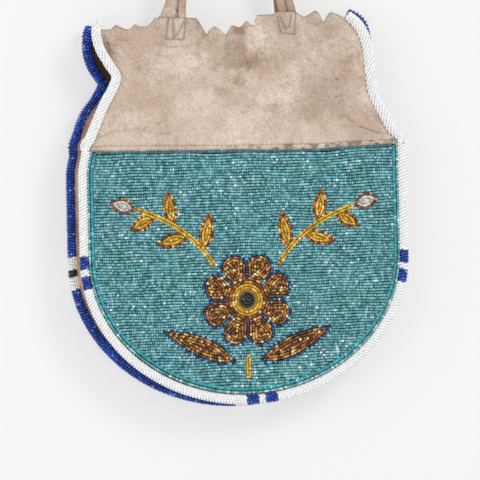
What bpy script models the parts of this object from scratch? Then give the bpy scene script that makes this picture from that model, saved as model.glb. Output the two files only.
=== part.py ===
"""Flat hide bag with a beaded front, hanging from a hook by its two strap handles.

The hook is at the origin, +Z is up and the beaded front faces -Y. The bag is a front and a back
sheet joined by a gusset. A roll of beads covers each seam. The front is a stiff beaded panel
with a soft hide yoke above it, and the straps are sewn inside the mouth.
"""

import math

import bmesh
import bpy
from mathutils import Matrix, Vector

# Driving sizes of the bag, in metres
SEAM_HALF_WIDTH = 0.1264
PANEL_SIDE_HEIGHT = 0.080
BOWL_DEPTH = 0.107
YOKE_HEIGHT = 0.1045
WAIST_INSET = 0.0289
SCALLOP_DEPTH = 0.0185
BAG_DEPTH = 0.028
CORNER_DEPTH = 0.022
MOUTH_DEPTH = 0.012
FIT_GAP = 0.0003

# Handles
HANDLE_DROP = 0.118
HANDLE_SPREAD = 0.0873
HANDLE_SHIFT = 0.0039
CROWN_RADIUS = 0.026
STRAP_WIDTH = 0.014
STRAP_THICKNESS = 0.0026
CROWN_WIDTH = 0.009
CROWN_THICKNESS = 0.005
CROWN_EASE = 0.5
STRAP_CORNER_SHARE = 0.35
TAB_LENGTH = 0.022

# Thicknesses of the sheets
HIDE = 0.0012
CANVAS = 0.0013
LINING = 0.0007
GUSSET = 0.0014

# Beadwork
ROW_PITCH = 0.00212
ROW_DEPTH = 0.0007
BEAD_HEIGHT = 0.0019
MOTIF_PROUD = 0.0003
OUTER_ROW_WIDTH = 0.00195
TEAL_ROW_WIDTH = 0.0026

# Bead roll on each seam: a flat band that wraps the corner between a face and the gusset
ROLL_HALF_LENGTH = 0.0040
ROLL_HALF_THICKNESS = 0.0022
ROLL_STEP = 0.008
ROLL_SIDES = 8
CHECK_DROP = 0.078
CHECK_OUTER_BAND = 0.0096
CHECK_MIDDLE_BAND = 0.0052
BOTTOM_CHECK_SHIFT = 0.0099

# How far each piece stays inside the seam line
GUSSET_INSET = 0.0002
GUSSET_SETBACK = 0.0030
GUSSET_FOLD = 0.006
LINING_INSET = 0.0021
CANVAS_INSET = 0.0032
BEAD_INSET = 0.00355

# Flower design. It is as wide as the panel allows, or as tall where the panel is a low one
DESIGN_SIDE_MARGIN = 0.0194
DESIGN_FOOT_MARGIN = 0.015
DESIGN_HEIGHT_SHARE = 1.6075
BLOSSOM_PETALS = 8
BLOSSOM_NOTCH_SHARE = 0.24
PETAL_ROUNDING = 0.5
LEAF_ROUNDING = 0.8
LEAF_SKEW = 0.85
SPRAY_LEAF_ANGLE = math.radians(52)

# Sizes in the design, and places as (out, up) from the middle of the panel's top edge, all
# beside half the design's width
BLOSSOM_PLACE_SHARES = (0.0, -1.056)
BLOSSOM_RADIUS_SHARE = 0.346
HEART_RADIUS_SHARE = 0.1355
EYE_RADIUS_SHARE = 0.058
STEM_WIDTH_SHARE = 0.0411
SPRAY_ROOT_SHARES = (0.238, -0.813)
SPRAY_BEND_SHARES = (0.411, -0.523)
SPRAY_TIP_SHARES = (0.804, -0.411)
SPRAY_LEAF_LENGTH_SHARE = 0.280
SPRAY_LEAF_WIDTH_SHARE = 0.1075
BUD_LENGTH_SHARE = 0.196
BUD_WIDTH_SHARE = 0.117
LOW_LEAF_ROOT_SHARES = (0.0795, -1.495)
LOW_LEAF_TIP_SHARES = (0.645, -1.243)
LOW_LEAF_WIDTH_SHARE = 0.173
BASE_STEM_TOP_SHARE = -1.439
BASE_STEM_FOOT_SHARE = -1.6075

# Leaves of a spray: place along the stem, side of the stem, and length beside a full leaf
SPRAY_LEAF_SHARES = (
    (0.20, 1, 1.0),
    (0.42, -1, 0.92),
    (0.62, 1, 0.88),
    (0.82, -1, 0.76),
)

# Side seams above the panel: height up the yoke, and how far in, beside the waist
FRONT_LEFT_SHARES = (
    (0.0, 0.03), (0.04, 0.03), (0.087, 0.20), (0.178, 0.39), (0.269, 0.54), (0.36, 0.71),
    (0.45, 0.90), (0.535, 1.0), (0.634, 0.80), (0.726, 0.61), (0.827, 0.505), (0.92, 0.54),
)
FRONT_RIGHT_SHARES = (
    (0.0, 0.03), (0.04, 0.03), (0.123, 0.28), (0.232, 0.48), (0.333, 0.68), (0.412, 0.79),
    (0.502, 0.83), (0.592, 0.855), (0.686, 0.875), (0.809, 0.97), (0.90, 1.15), (0.955, 1.38),
)
BACK_LEFT_SHARES = (
    (0.0, 0.03), (0.04, 0.03), (0.107, 0.19), (0.18, 0.29), (0.27, 0.44), (0.36, 0.69),
    (0.452, 0.88), (0.497, 0.93), (0.544, 0.85), (0.635, 0.63), (0.728, 0.526), (0.822, 0.515),
    (0.89, 0.57),
)
BACK_RIGHT_SHARES = (
    (0.0, 0.03), (0.04, 0.03), (0.107, 0.19), (0.18, 0.29), (0.27, 0.44), (0.36, 0.69),
    (0.452, 0.80), (0.544, 0.78), (0.635, 0.69), (0.728, 0.66), (0.81, 0.70), (0.90, 0.82),
    (0.94, 0.98), (0.957, 1.13),
)

# Pinked top edge of the hide: place across beside the mouth's corner, and drop beside the deepest
TOP_EDGE_SHARES = (
    (-0.946, 0.80), (-0.883, 0.73), (-0.851, 0.55), (-0.797, 0.77), (-0.757, 0.77),
    (-0.719, 0.54), (-0.676, 0.65), (-0.626, 0.63), (-0.611, 0.49), (-0.589, 0.29),
    (-0.486, 0.26), (-0.368, 0.275), (-0.291, 0.31), (-0.269, 0.49), (-0.225, 0.98),
    (-0.209, 0.81), (-0.170, 0.63), (-0.135, 0.74), (-0.091, 1.0), (-0.049, 0.60),
    (0.020, 0.68), (0.080, 0.38), (0.108, 0.58), (0.147, 0.59), (0.172, 0.18), (0.324, 0.146),
    (0.347, 0.04), (0.518, 0.03), (0.600, 0.27), (0.693, 0.0), (0.726, 0.076), (0.769, 0.49),
    (0.818, 0.135), (0.846, 0.065), (0.910, 0.20), (0.966, 0.36),
)

# Numbers of facets
BOWL_STEPS = 36
SIDE_STEPS = 18
FACE_CUTS = 6
STRAP_RINGS = 26
TAB_CUTS = 3
BLOSSOM_STEPS = 6
LEAF_STEPS = 6
STEM_STEPS = 5
ROUND_STEPS = 24

# Heights and depths that follow from the sizes above
HINGE_Z = -HANDLE_DROP
MOUTH_Z = HINGE_Z - FIT_GAP
PANEL_Z = MOUTH_Z - YOKE_HEIGHT
BOWL_Z = PANEL_Z - PANEL_SIDE_HEIGHT
SEAM_Y = BAG_DEPTH / 2
CANVAS_FRONT_Y = -SEAM_Y
BEAD_BACK_Y = CANVAS_FRONT_Y - FIT_GAP
BEAD_FRONT_Y = BEAD_BACK_Y - BEAD_HEIGHT
MOTIF_FRONT_Y = BEAD_FRONT_Y - MOTIF_PROUD
BAND_STEP = OUTER_ROW_WIDTH + FIT_GAP
TEAL_INSET = BEAD_INSET + BAND_STEP
FIELD_INSET = TEAL_INSET + TEAL_ROW_WIDTH + FIT_GAP
DESIGN_ROOM = PANEL_SIDE_HEIGHT + BOWL_DEPTH - DESIGN_FOOT_MARGIN
DESIGN_HALF_WIDTH = min(SEAM_HALF_WIDTH - DESIGN_SIDE_MARGIN, DESIGN_ROOM / DESIGN_HEIGHT_SHARE)
BLOSSOM_Z = PANEL_Z + BLOSSOM_PLACE_SHARES[1] * DESIGN_HALF_WIDTH
STEM_WIDTH = STEM_WIDTH_SHARE * DESIGN_HALF_WIDTH

COLOURS = {
    "hide": ((0.60, 0.48, 0.38), 0.9),
    "strap_hide": ((0.52, 0.40, 0.31), 0.9),
    "gusset_hide": ((0.33, 0.22, 0.16), 0.85),
    "canvas": ((0.55, 0.50, 0.42), 0.95),
    "lining_cloth": ((0.50, 0.44, 0.36), 0.95),
    "turquoise_beads": ((0.11, 0.27, 0.29), 0.3),
    "pale_turquoise_beads": ((0.20, 0.38, 0.40), 0.3),
    "teal_beads": ((0.02, 0.24, 0.28), 0.25),
    "white_beads": ((0.78, 0.79, 0.80), 0.3),
    "blue_beads": ((0.01, 0.04, 0.30), 0.2),
    "black_beads": ((0.01, 0.01, 0.01), 0.2),
    "bronze_beads": ((0.20, 0.08, 0.03), 0.2),
    "gold_beads": ((0.45, 0.24, 0.02), 0.25),
    "grey_beads": ((0.50, 0.50, 0.46), 0.3),
}

for old in list(bpy.data.objects):
    bpy.data.objects.remove(old, do_unlink=True)


def new_collection(name, hidden=False):
    collection = bpy.data.collections.new(name)
    bpy.context.scene.collection.children.link(collection)
    collection.hide_render = hidden
    return collection


bag_parts = new_collection("beaded_bag")
cutters = new_collection("cutters", hidden=True)
field_holes = new_collection("field_holes", hidden=True)


def new_material(name):
    colour, roughness = COLOURS[name]
    material = bpy.data.materials.new(name)
    material.use_nodes = True
    shader = material.node_tree.nodes["Principled BSDF"]
    shader.inputs["Base Color"].default_value = (*colour, 1)
    shader.inputs["Roughness"].default_value = roughness
    return material


materials = {name: new_material(name) for name in COLOURS}

# The bag hangs a little to the right of its hook, because its straps are sewn off its middle
bag_frame = bpy.data.objects.new("bag_frame", None)
bag_frame.location.x = HANDLE_SHIFT
bag_parts.objects.link(bag_frame)


def hinge_frame(name, y, z, parent):
    """An empty on a joint's axis, which the pieces that turn about it are parented to."""
    frame = bpy.data.objects.new(name, None)
    frame.parent = parent
    frame.location = (0, y, z)
    bag_parts.objects.link(frame)
    return frame


YOKE_AXIS_Y = -(SEAM_Y + ROLL_HALF_LENGTH - FIT_GAP)
STRAP_AXIS_Y = MOUTH_DEPTH / 2 + HIDE / 2 + 2 * FIT_GAP
yoke_hinge = hinge_frame("yoke_hinge", YOKE_AXIS_Y, PANEL_Z, bag_frame)
front_strap_hinge = hinge_frame("front_strap_hinge", -STRAP_AXIS_Y, HINGE_Z, None)
back_strap_hinge = hinge_frame("back_strap_hinge", STRAP_AXIS_Y, HINGE_Z, None)


def place(name, mesh, material, frame):
    """Makes a sub-part from a mesh in the bag's own coordinates, with its origin on its frame."""
    item = bpy.data.objects.new(name, mesh)
    bag_parts.objects.link(item)
    item.data.materials.append(materials[material])
    item.parent = frame
    origin = frame.location.copy()
    if frame.parent is None:
        origin.x = 0
    item.data.transform(Matrix.Translation(-origin))
    if frame is bag_frame:
        item.data.transform(Matrix.Translation((origin.x, 0, 0)))
    return item


def hide_away(name, mesh, collection=cutters):
    item = bpy.data.objects.new(name, mesh)
    item.display_type = "WIRE"
    item.hide_render = True
    collection.objects.link(item)
    return item


def mesh_from(bm, name):
    bmesh.ops.recalc_face_normals(bm, faces=bm.faces)
    mesh = bpy.data.meshes.new(name)
    bm.to_mesh(mesh)
    bm.free()
    return mesh


def loft(name, rings):
    """A closed solid through rings of points, capped at both ends."""
    bm = bmesh.new()
    made = [[bm.verts.new(point) for point in ring] for ring in rings]
    count = len(rings[0])
    for lower, upper in zip(made, made[1:]):
        for i in range(count):
            j = (i + 1) % count
            bm.faces.new((lower[i], lower[j], upper[j], upper[i]))
    bm.faces.new(made[0])
    bm.faces.new(made[-1])
    bmesh.ops.triangulate(bm, faces=bm.faces)
    return mesh_from(bm, name)


def prism(name, outline, front_y, back_y):
    """A flat plate with this outline, between two depths."""
    bm = bmesh.new()
    face = bm.faces.new([bm.verts.new((x, front_y, z)) for x, z in outline])
    face.normal_update()
    grown = bmesh.ops.extrude_face_region(bm, geom=[face])["geom"]
    moved = [item for item in grown if isinstance(item, bmesh.types.BMVert)]
    bmesh.ops.translate(bm, verts=moved, vec=(0, back_y - front_y, 0))
    bmesh.ops.triangulate(bm, faces=bm.faces)
    return mesh_from(bm, name)


def on_cut(edge, cuts):
    """Whether an edge lies in one of the planes that a sheet was cut by."""
    for point, normal in cuts:
        off = [abs((vert.co - Vector(point)).dot(Vector(normal))) for vert in edge.verts]
        if max(off) < FIT_GAP / 10:
            return True
    return edge.is_boundary


def sheet(name, outline, depth_at, thickness, cuts):
    """A soft sheet with this outline, bent to depth_at(x, z) and given its thickness."""
    bm = bmesh.new()
    bm.faces.new([bm.verts.new((x, 0, z)) for x, z in outline]).normal_update()
    bmesh.ops.triangulate(bm, faces=bm.faces)
    for point, normal in cuts:
        geometry = list(bm.verts) + list(bm.edges) + list(bm.faces)
        bmesh.ops.bisect_plane(bm, geom=geometry, plane_co=point, plane_no=normal)
    bmesh.ops.dissolve_limit(
        bm, angle_limit=math.radians(1), verts=[], edges=[e for e in bm.edges if not on_cut(e, cuts)]
    )
    bmesh.ops.triangulate(bm, faces=bm.faces)
    for vert in bm.verts:
        vert.co.y = depth_at(vert.co.x, vert.co.z)
    mesh = mesh_from(bm, name)
    holder = hide_away(name + "_sheet", mesh)
    wall = holder.modifiers.new("wall", "SOLIDIFY")
    wall.thickness = thickness
    wall.offset = 0
    bpy.context.view_layer.update()
    graph = bpy.context.evaluated_depsgraph_get()
    solid = bpy.data.meshes.new_from_object(holder.evaluated_get(graph))
    bpy.data.objects.remove(holder)
    return solid


def boolean(item, other, operation):
    """Cuts, joins or trims an item by another object, or cuts it by each one of a collection.

    The manifold solver cuts the many outlines of a collection with no slivers where they cross.
    """
    cut = item.modifiers.new(other.name, "BOOLEAN")
    cut.operation = operation
    if isinstance(other, bpy.types.Collection):
        cut.solver = "MANIFOLD"
        cut.operand_type = "COLLECTION"
        cut.collection = other
    else:
        cut.object = other


# The seam line and the depth of the bag


def read_shares(shares, at):
    """A smooth curve through the pairs of a table, read at one place."""
    if at <= shares[0][0]:
        return shares[0][1]
    if at >= shares[-1][0]:
        return shares[-1][1]
    index = next(i for i in range(len(shares) - 1) if at <= shares[i + 1][0])
    (x0, y0), (x1, y1) = shares[index], shares[index + 1]
    before = shares[max(index - 1, 0)]
    after = shares[min(index + 2, len(shares) - 1)]
    slope0 = (y1 - before[1]) / (x1 - before[0])
    slope1 = (after[1] - y0) / (after[0] - x0)
    t, span = (at - x0) / (x1 - x0), x1 - x0
    return (
        (2 * t**3 - 3 * t**2 + 1) * y0
        + (t**3 - 2 * t**2 + t) * span * slope0
        + (3 * t**2 - 2 * t**3) * y1
        + (t**3 - t**2) * span * slope1
    )


SIDE_TABLES = {
    ("front", -1): FRONT_LEFT_SHARES,
    ("front", 1): FRONT_RIGHT_SHARES,
    ("back", -1): BACK_LEFT_SHARES,
    ("back", 1): BACK_RIGHT_SHARES,
}


def seam_x(face, side, z):
    """How far out the seam is above the bowl, on the left (-1) or the right (1)."""
    height_share = max(0.0, (z - PANEL_Z) / YOKE_HEIGHT)
    first_inset = SIDE_TABLES[face, side][0][1]
    inset = read_shares(SIDE_TABLES[face, side], height_share) - first_inset
    return side * (SEAM_HALF_WIDTH - inset * WAIST_INSET)


def depth_ease(z):
    rise = min(1.0, max(0.0, (z - PANEL_Z) / YOKE_HEIGHT))
    return rise * rise * (3 - 2 * rise)


def side_depth(z):
    """Half the bag's depth at its seams: full at the panel and a little less at the corners."""
    return SEAM_Y - (BAG_DEPTH - CORNER_DEPTH) / 2 * depth_ease(z)


def half_depth(face, x, z):
    """Half the bag's depth away from the seams, drawn in most in the middle of the mouth."""
    at_middle = SEAM_Y - (BAG_DEPTH - MOUTH_DEPTH) / 2 * depth_ease(z)
    out = min(1.0, abs(x / seam_x(face, -1 if x < 0 else 1, z)))
    return at_middle + (side_depth(z) - at_middle) * out * out


def bowl_point(angle, inset=0.0):
    """A point of the rounded bottom. Angle 0 is its left end and pi its right end."""
    return (
        -(SEAM_HALF_WIDTH - inset) * math.cos(angle),
        BOWL_Z - (BOWL_DEPTH - inset) * math.sin(angle),
    )


def side_heights(face, side):
    """Heights up the side of the yoke. The first stretch is upright, so that the ends meet."""
    table = SIDE_TABLES[face, side]
    low, top = (PANEL_Z + table[i][0] * YOKE_HEIGHT for i in (1, -1))
    return [PANEL_Z] + [low + (top - low) * i / SIDE_STEPS for i in range(SIDE_STEPS + 1)]


def bowl_outline(inset, top_z):
    """The outline of a U-shaped piece, from its left top corner round to its right one."""
    outline = [(-(SEAM_HALF_WIDTH - inset), top_z)]
    outline += [bowl_point(math.pi * i / BOWL_STEPS, inset) for i in range(BOWL_STEPS + 1)]
    outline += [(SEAM_HALF_WIDTH - inset, top_z)]
    return outline


def lower_seam():
    """Points down the left side of the panel, round the bowl and up its right side."""
    side_count = round(PANEL_SIDE_HEIGHT / ROLL_STEP)
    left = [
        (-SEAM_HALF_WIDTH, PANEL_Z - PANEL_SIDE_HEIGHT * i / side_count)
        for i in range(side_count)
    ]
    bowl = [bowl_point(math.pi * i / BOWL_STEPS) for i in range(BOWL_STEPS + 1)]
    right = [(-x, z) for x, z in reversed(left)]
    return left + bowl + right


def upper_seam(face, side):
    """Points up one side of the yoke, from the panel's top to the corner of the mouth."""
    return [(seam_x(face, side, z), z) for z in side_heights(face, side)]


# Bead rolls


class Path:
    """A line of points in the bag's face, read by the distance along it."""

    def __init__(self, points):
        self.points = [Vector((x, 0, z)) for x, z in points]
        self.at = [0.0]
        for a, b in zip(self.points, self.points[1:]):
            self.at.append(self.at[-1] + (b - a).length)
        self.length = self.at[-1]

    def point(self, distance):
        distance = min(max(distance, 0.0), self.length)
        for i in range(len(self.points) - 1):
            if distance <= self.at[i + 1] or i == len(self.points) - 2:
                share = (distance - self.at[i]) / (self.at[i + 1] - self.at[i])
                return self.points[i].lerp(self.points[i + 1], share)

    def outward(self, distance):
        """Square to the line, away from the bag, on a line that runs left, down and round."""
        ahead = self.point(distance + ROLL_STEP / 2) - self.point(distance - ROLL_STEP / 2)
        ahead.normalize()
        return Vector((ahead.z, 0, -ahead.x))


def roll_ring(path, distance, depth_sign):
    """One section of a roll: an ellipse that leans across the corner of face and gusset."""
    middle = path.point(distance)
    middle.y = depth_sign * side_depth(middle.z)
    outward = path.outward(distance)
    toward = Vector((0, depth_sign, 0))
    along = (outward - toward).normalized() * ROLL_HALF_LENGTH
    across = (outward + toward).normalized() * ROLL_HALF_THICKNESS
    ring = []
    for i in range(ROLL_SIDES):
        angle = 2 * math.pi * (i + 0.5) / ROLL_SIDES
        ring.append(middle + along * math.cos(angle) + across * math.sin(angle))
    return ring


def roll(name, path, start, end, depth_sign, colour, frame=bag_frame):
    count = max(1, round((end - start) / ROLL_STEP))
    places = [start + (end - start) * i / count for i in range(count + 1)]
    rings = [roll_ring(path, distance, depth_sign) for distance in places]
    place(name, loft(name, rings), colour + "_beads", frame)


def check_spans(path, middle):
    """The three bands of a check, as (start, end) along the seam."""
    edges = [
        middle - CHECK_MIDDLE_BAND / 2 - CHECK_OUTER_BAND,
        middle - CHECK_MIDDLE_BAND / 2,
        middle + CHECK_MIDDLE_BAND / 2,
        middle + CHECK_MIDDLE_BAND / 2 + CHECK_OUTER_BAND,
    ]
    return [(a + FIT_GAP / 2, b - FIT_GAP / 2) for a, b in zip(edges, edges[1:])]


def make_lower_rolls(face, depth_sign, path, head, tail, ground, outer, middle_colour):
    """A face's roll: ground colour, with a check of three bands left, bottom and right."""
    half_check = CHECK_MIDDLE_BAND / 2 + CHECK_OUTER_BAND
    lower_length = path.length - head - tail
    middles = {
        "left": head + CHECK_DROP + half_check,
        "bottom": head + lower_length / 2 + BOTTOM_CHECK_SHIFT,
        "right": path.length - tail - CHECK_DROP - half_check,
    }
    begin = FIT_GAP / 2
    for where, after in (("left", "left_side"), ("bottom", "lower_left"), ("right", "lower_right")):
        spans = check_spans(path, middles[where])
        roll(f"{face}_roll_{after}", path, begin, spans[0][0] - FIT_GAP, depth_sign, ground)
        for (start, end), colour, part in zip(
            spans, (outer, middle_colour, outer), ("first", "middle", "last")
        ):
            roll(f"{face}_roll_{where}_check_{part}", path, start, end, depth_sign, colour)
        begin = spans[-1][1] + FIT_GAP
    roll(f"{face}_roll_right_side", path, begin, path.length - FIT_GAP / 2, depth_sign, ground)


def make_rolls():
    front = Path(lower_seam())
    make_lower_rolls("front", -1, front, 0.0, 0.0, "white", "blue", "white")
    left = Path(list(reversed(upper_seam("front", -1))))
    right = Path(upper_seam("front", 1))
    roll("front_roll_upper_left", left, 0.0, left.length - FIT_GAP, -1, "white", yoke_hinge)
    roll("front_roll_upper_right", right, FIT_GAP, right.length, -1, "white", yoke_hinge)
    up_left = list(reversed(upper_seam("back", -1)))
    up_right = upper_seam("back", 1)
    back = Path(up_left[:-1] + lower_seam() + up_right[1:])
    head, tail = Path(up_left).length, Path(up_right).length
    make_lower_rolls("back", 1, back, head, tail, "blue", "white", "black")


# Hide, canvas and lining


def face_cuts(width, low, high):
    """Planes that cut a sheet into strips, so that it can bend."""
    cuts = []
    for i in range(1, FACE_CUTS):
        share = i / FACE_CUTS
        cuts.append(((-width + 2 * width * share, 0, 0), (1, 0, 0)))
        cuts.append(((0, 0, low + (high - low) * share), (0, 0, 1)))
    return cuts


def top_edge(face, shares):
    corners = {side: abs(upper_seam(face, side)[-1][0]) for side in (-1, 1)}
    edge = []
    for across, drop in shares:
        corner = corners[-1 if across < 0 else 1]
        edge.append((across * corner, MOUTH_Z - drop * SCALLOP_DEPTH))
    return edge


def side_edge(face, side, top_z, inset):
    """Points up a side edge of a sheet, beside the seam's roll."""
    seam = upper_seam(face, side)
    path = Path(seam if side > 0 else list(reversed(seam)))
    edge = []
    for i in range(1, SIDE_STEPS + 1):
        share = i / SIDE_STEPS
        distance = path.length * (share if side > 0 else 1 - share)
        point = path.point(distance) - path.outward(distance) * inset
        if point.z < top_z - SCALLOP_DEPTH / 4:
            edge.append((point.x, point.z))
    return edge


def yoke_depth(x, z):
    return -half_depth("front", x, z)


def back_depth(x, z):
    return half_depth("back", x, z)


def make_yoke():
    edge = top_edge("front", TOP_EDGE_SHARES)
    inset = CANVAS_INSET + FIT_GAP
    low = PANEL_Z + FIT_GAP / 2
    left = side_edge("front", -1, edge[0][1], inset)
    right = side_edge("front", 1, edge[-1][1], inset)
    foot = SEAM_HALF_WIDTH - inset
    outline = [(-foot, low)] + left + edge + list(reversed(right)) + [(foot, low)]
    cuts = face_cuts(SEAM_HALF_WIDTH, PANEL_Z, MOUTH_Z)
    mesh = sheet("yoke", outline, yoke_depth, HIDE, cuts)
    place("front_yoke", mesh, "hide", yoke_hinge)


def make_back_panel():
    left_shares = [pair for pair in TOP_EDGE_SHARES if pair[0] < 0]
    edge = top_edge("back", left_shares + [(-x, drop) for x, drop in reversed(left_shares)])
    inset = CANVAS_INSET + FIT_GAP
    left = side_edge("back", -1, edge[0][1], inset)
    right = side_edge("back", 1, edge[-1][1], inset)
    bowl = bowl_outline(inset, PANEL_Z)
    outline = bowl + right + list(reversed(edge)) + list(reversed(left))
    cuts = face_cuts(SEAM_HALF_WIDTH, PANEL_Z - YOKE_HEIGHT / FACE_CUTS, MOUTH_Z)
    mesh = sheet("back", outline, back_depth, HIDE, cuts)
    place("back_panel", mesh, "hide", bag_frame)


def make_backings():
    top = PANEL_Z - FIT_GAP / 2
    canvas_back = CANVAS_FRONT_Y + CANVAS
    canvas = prism("canvas", bowl_outline(CANVAS_INSET, top), CANVAS_FRONT_Y, canvas_back)
    place("panel_canvas", canvas, "canvas", bag_frame)
    lining_front = canvas_back + FIT_GAP
    outline = bowl_outline(LINING_INSET, top)
    lining = prism("lining", outline, lining_front, lining_front + LINING)
    place("panel_lining", lining, "lining_cloth", bag_frame)


# Gusset


def gusset_ring(front, back, outward, fold):
    """One section of the gusset, from the front seam to the back one, folded in between."""
    points = []
    for deeper, order in ((0.0, 1), (GUSSET, -1)):
        row = []
        for corner, toward in ((front, 1), (back, -1)):
            edge = corner - outward * (GUSSET_INSET + deeper)
            edge.y += toward * GUSSET_SETBACK
            row.append(edge)
        row.insert(1, (row[0] + row[1]) / 2 - outward * fold)
        points += row[::order]
    return points


def make_gusset():
    path = Path(lower_seam())
    count = round(path.length / ROLL_STEP)
    rings = []
    for i in range(count + 1):
        distance = path.length * i / count
        middle = path.point(distance)
        front, back = middle.copy(), middle.copy()
        front.y, back.y = -SEAM_Y, SEAM_Y
        rings.append(gusset_ring(front, back, path.outward(distance), 0.0))
    place("gusset_bottom", loft("gusset_bottom", rings), "gusset_hide", bag_frame)
    for side, name in ((-1, "gusset_left"), (1, "gusset_right")):
        top = min(side_heights(face, side)[-1] for face in ("front", "back"))
        low = PANEL_Z + FIT_GAP
        rings = []
        for i in range(SIDE_STEPS + 1):
            z = low + (top - low) * i / SIDE_STEPS
            front = Vector((seam_x("front", side, z), -side_depth(z), z))
            back = Vector((seam_x("back", side, z), side_depth(z), z))
            fold = GUSSET_FOLD * math.sin(math.pi * i / (2 * SIDE_STEPS))
            rings.append(gusset_ring(front, back, Vector((side, 0, 0)), fold))
        place(name, loft(name, rings), "gusset_hide", bag_frame)


# Beadwork


def rows_solid(name, outline):
    """A plate whose front is laid in level rows of beads, as wide as the panel."""
    low = min(z for x, z in outline)
    high = max(z for x, z in outline)
    count = math.ceil((high - low) / ROW_PITCH)
    half_width = SEAM_HALF_WIDTH
    profile = [(BEAD_BACK_Y, high), (BEAD_BACK_Y, high - count * ROW_PITCH)]
    for i in range(count):
        foot = high - (count - i) * ROW_PITCH
        profile.append((BEAD_FRONT_Y + ROW_DEPTH, foot))
        profile.append((BEAD_FRONT_Y, foot + ROW_PITCH / 2))
    profile.append((BEAD_FRONT_Y + ROW_DEPTH, high))
    bm = bmesh.new()
    face = bm.faces.new([bm.verts.new((-half_width, y, z)) for y, z in profile])
    face.normal_update()
    grown = bmesh.ops.extrude_face_region(bm, geom=[face])["geom"]
    moved = [item for item in grown if isinstance(item, bmesh.types.BMVert)]
    bmesh.ops.translate(bm, verts=moved, vec=(2 * half_width, 0, 0))
    bmesh.ops.triangulate(bm, faces=bm.faces)
    return mesh_from(bm, name)


def plate_cutter(name, outline, collection=cutters):
    """A cutter of this outline that runs past both sides of the beadwork."""
    mesh = prism(name, outline, MOTIF_FRONT_Y - BEAD_HEIGHT, BEAD_BACK_Y + BEAD_HEIGHT)
    cutter = hide_away(name, mesh, collection)
    cutter.location.x = HANDLE_SHIFT
    return cutter


def in_design(shares):
    """A place in the design, in metres from the middle of the panel's top edge."""
    return Vector(shares) * DESIGN_HALF_WIDTH


def ring_outline(radius_share, grow):
    """A circle round the flower's middle."""
    radius = radius_share * DESIGN_HALF_WIDTH + grow
    outline = []
    for i in range(ROUND_STEPS):
        angle = 2 * math.pi * i / ROUND_STEPS
        outline.append((radius * math.cos(angle), BLOSSOM_Z + radius * math.sin(angle)))
    return outline


def blossom_outline(grow):
    """Eight rounded petals round the flower's middle."""
    outline = []
    tip_radius = BLOSSOM_RADIUS_SHARE * DESIGN_HALF_WIDTH
    for i in range(BLOSSOM_PETALS * BLOSSOM_STEPS):
        angle = 2 * math.pi * i / (BLOSSOM_PETALS * BLOSSOM_STEPS)
        bulge = abs(math.sin(angle * BLOSSOM_PETALS / 2)) ** PETAL_ROUNDING
        radius = tip_radius * (1 - BLOSSOM_NOTCH_SHARE * (1 - bulge)) + grow
        outline.append((radius * math.sin(angle), BLOSSOM_Z + radius * math.cos(angle)))
    return outline


def leaf_outline(root, tip, width, grow):
    """A pointed leaf from root to tip, widest before its middle."""
    along = tip - root
    length = along.length
    along.normalize()
    aside = Vector((-along.y, along.x))
    sides = {1: [], -1: []}
    for i in range(LEAF_STEPS + 1):
        share = i / LEAF_STEPS
        swell = abs(math.sin(math.pi * share**LEAF_SKEW)) ** LEAF_ROUNDING
        half = width / 2 * swell if i < LEAF_STEPS else 0.0
        place_along = -grow + (length + 2 * grow) * share
        for side in sides:
            sides[side].append(root + along * place_along + aside * side * (half + grow))
    outline = sides[1] + sides[-1][::-1]
    return [(point.x, PANEL_Z + point.y) for point in outline]


def stem_point(share):
    """A point of a spray's stem, and its direction there."""
    a, b, c = (in_design(p) for p in (SPRAY_ROOT_SHARES, SPRAY_BEND_SHARES, SPRAY_TIP_SHARES))
    point = a.lerp(b, share).lerp(b.lerp(c, share), share)
    ahead = (b.lerp(c, share) - a.lerp(b, share)).normalized()
    return point, ahead


def stem_outline(grow):
    sides = {1: [], -1: []}
    for i in range(STEM_STEPS + 1):
        point, ahead = stem_point(i / STEM_STEPS)
        reach = grow * (1 if i == STEM_STEPS else -1 if i == 0 else 0)
        aside = Vector((-ahead.y, ahead.x)) * (STEM_WIDTH / 2 + grow)
        for side in sides:
            sides[side].append(point + ahead * reach + aside * side)
    outline = sides[1] + sides[-1][::-1]
    return [(point.x, PANEL_Z + point.y) for point in outline]


def spray_outlines(grow):
    """The stem and the leaves of the right-hand spray."""
    outlines = [stem_outline(grow)]
    full_length = SPRAY_LEAF_LENGTH_SHARE * DESIGN_HALF_WIDTH
    width = SPRAY_LEAF_WIDTH_SHARE * DESIGN_HALF_WIDTH
    for share, side, length_share in SPRAY_LEAF_SHARES:
        root, ahead = stem_point(share)
        turned = ahead.copy()
        turned.rotate(Matrix.Rotation(side * SPRAY_LEAF_ANGLE, 2))
        tip = root + turned * full_length * length_share
        outlines.append(leaf_outline(root, tip, width, grow))
    return outlines


def bud_outline(grow):
    tip, ahead = stem_point(1.0)
    root = tip + ahead * 2 * FIT_GAP
    end = root + ahead * BUD_LENGTH_SHARE * DESIGN_HALF_WIDTH
    return leaf_outline(root, end, BUD_WIDTH_SHARE * DESIGN_HALF_WIDTH, grow)


def low_leaf_outline(grow):
    root, tip = in_design(LOW_LEAF_ROOT_SHARES), in_design(LOW_LEAF_TIP_SHARES)
    return leaf_outline(root, tip, LOW_LEAF_WIDTH_SHARE * DESIGN_HALF_WIDTH, grow)


def mirrored(outline):
    return [(-x, z) for x, z in reversed(outline)]


def base_stem_outline(grow):
    half = STEM_WIDTH / 2 + grow
    top = PANEL_Z + BASE_STEM_TOP_SHARE * DESIGN_HALF_WIDTH + grow
    foot = PANEL_Z + BASE_STEM_FOOT_SHARE * DESIGN_HALF_WIDTH - grow
    return [(-half, foot), (half, foot), (half, top), (-half, top)]


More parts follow.
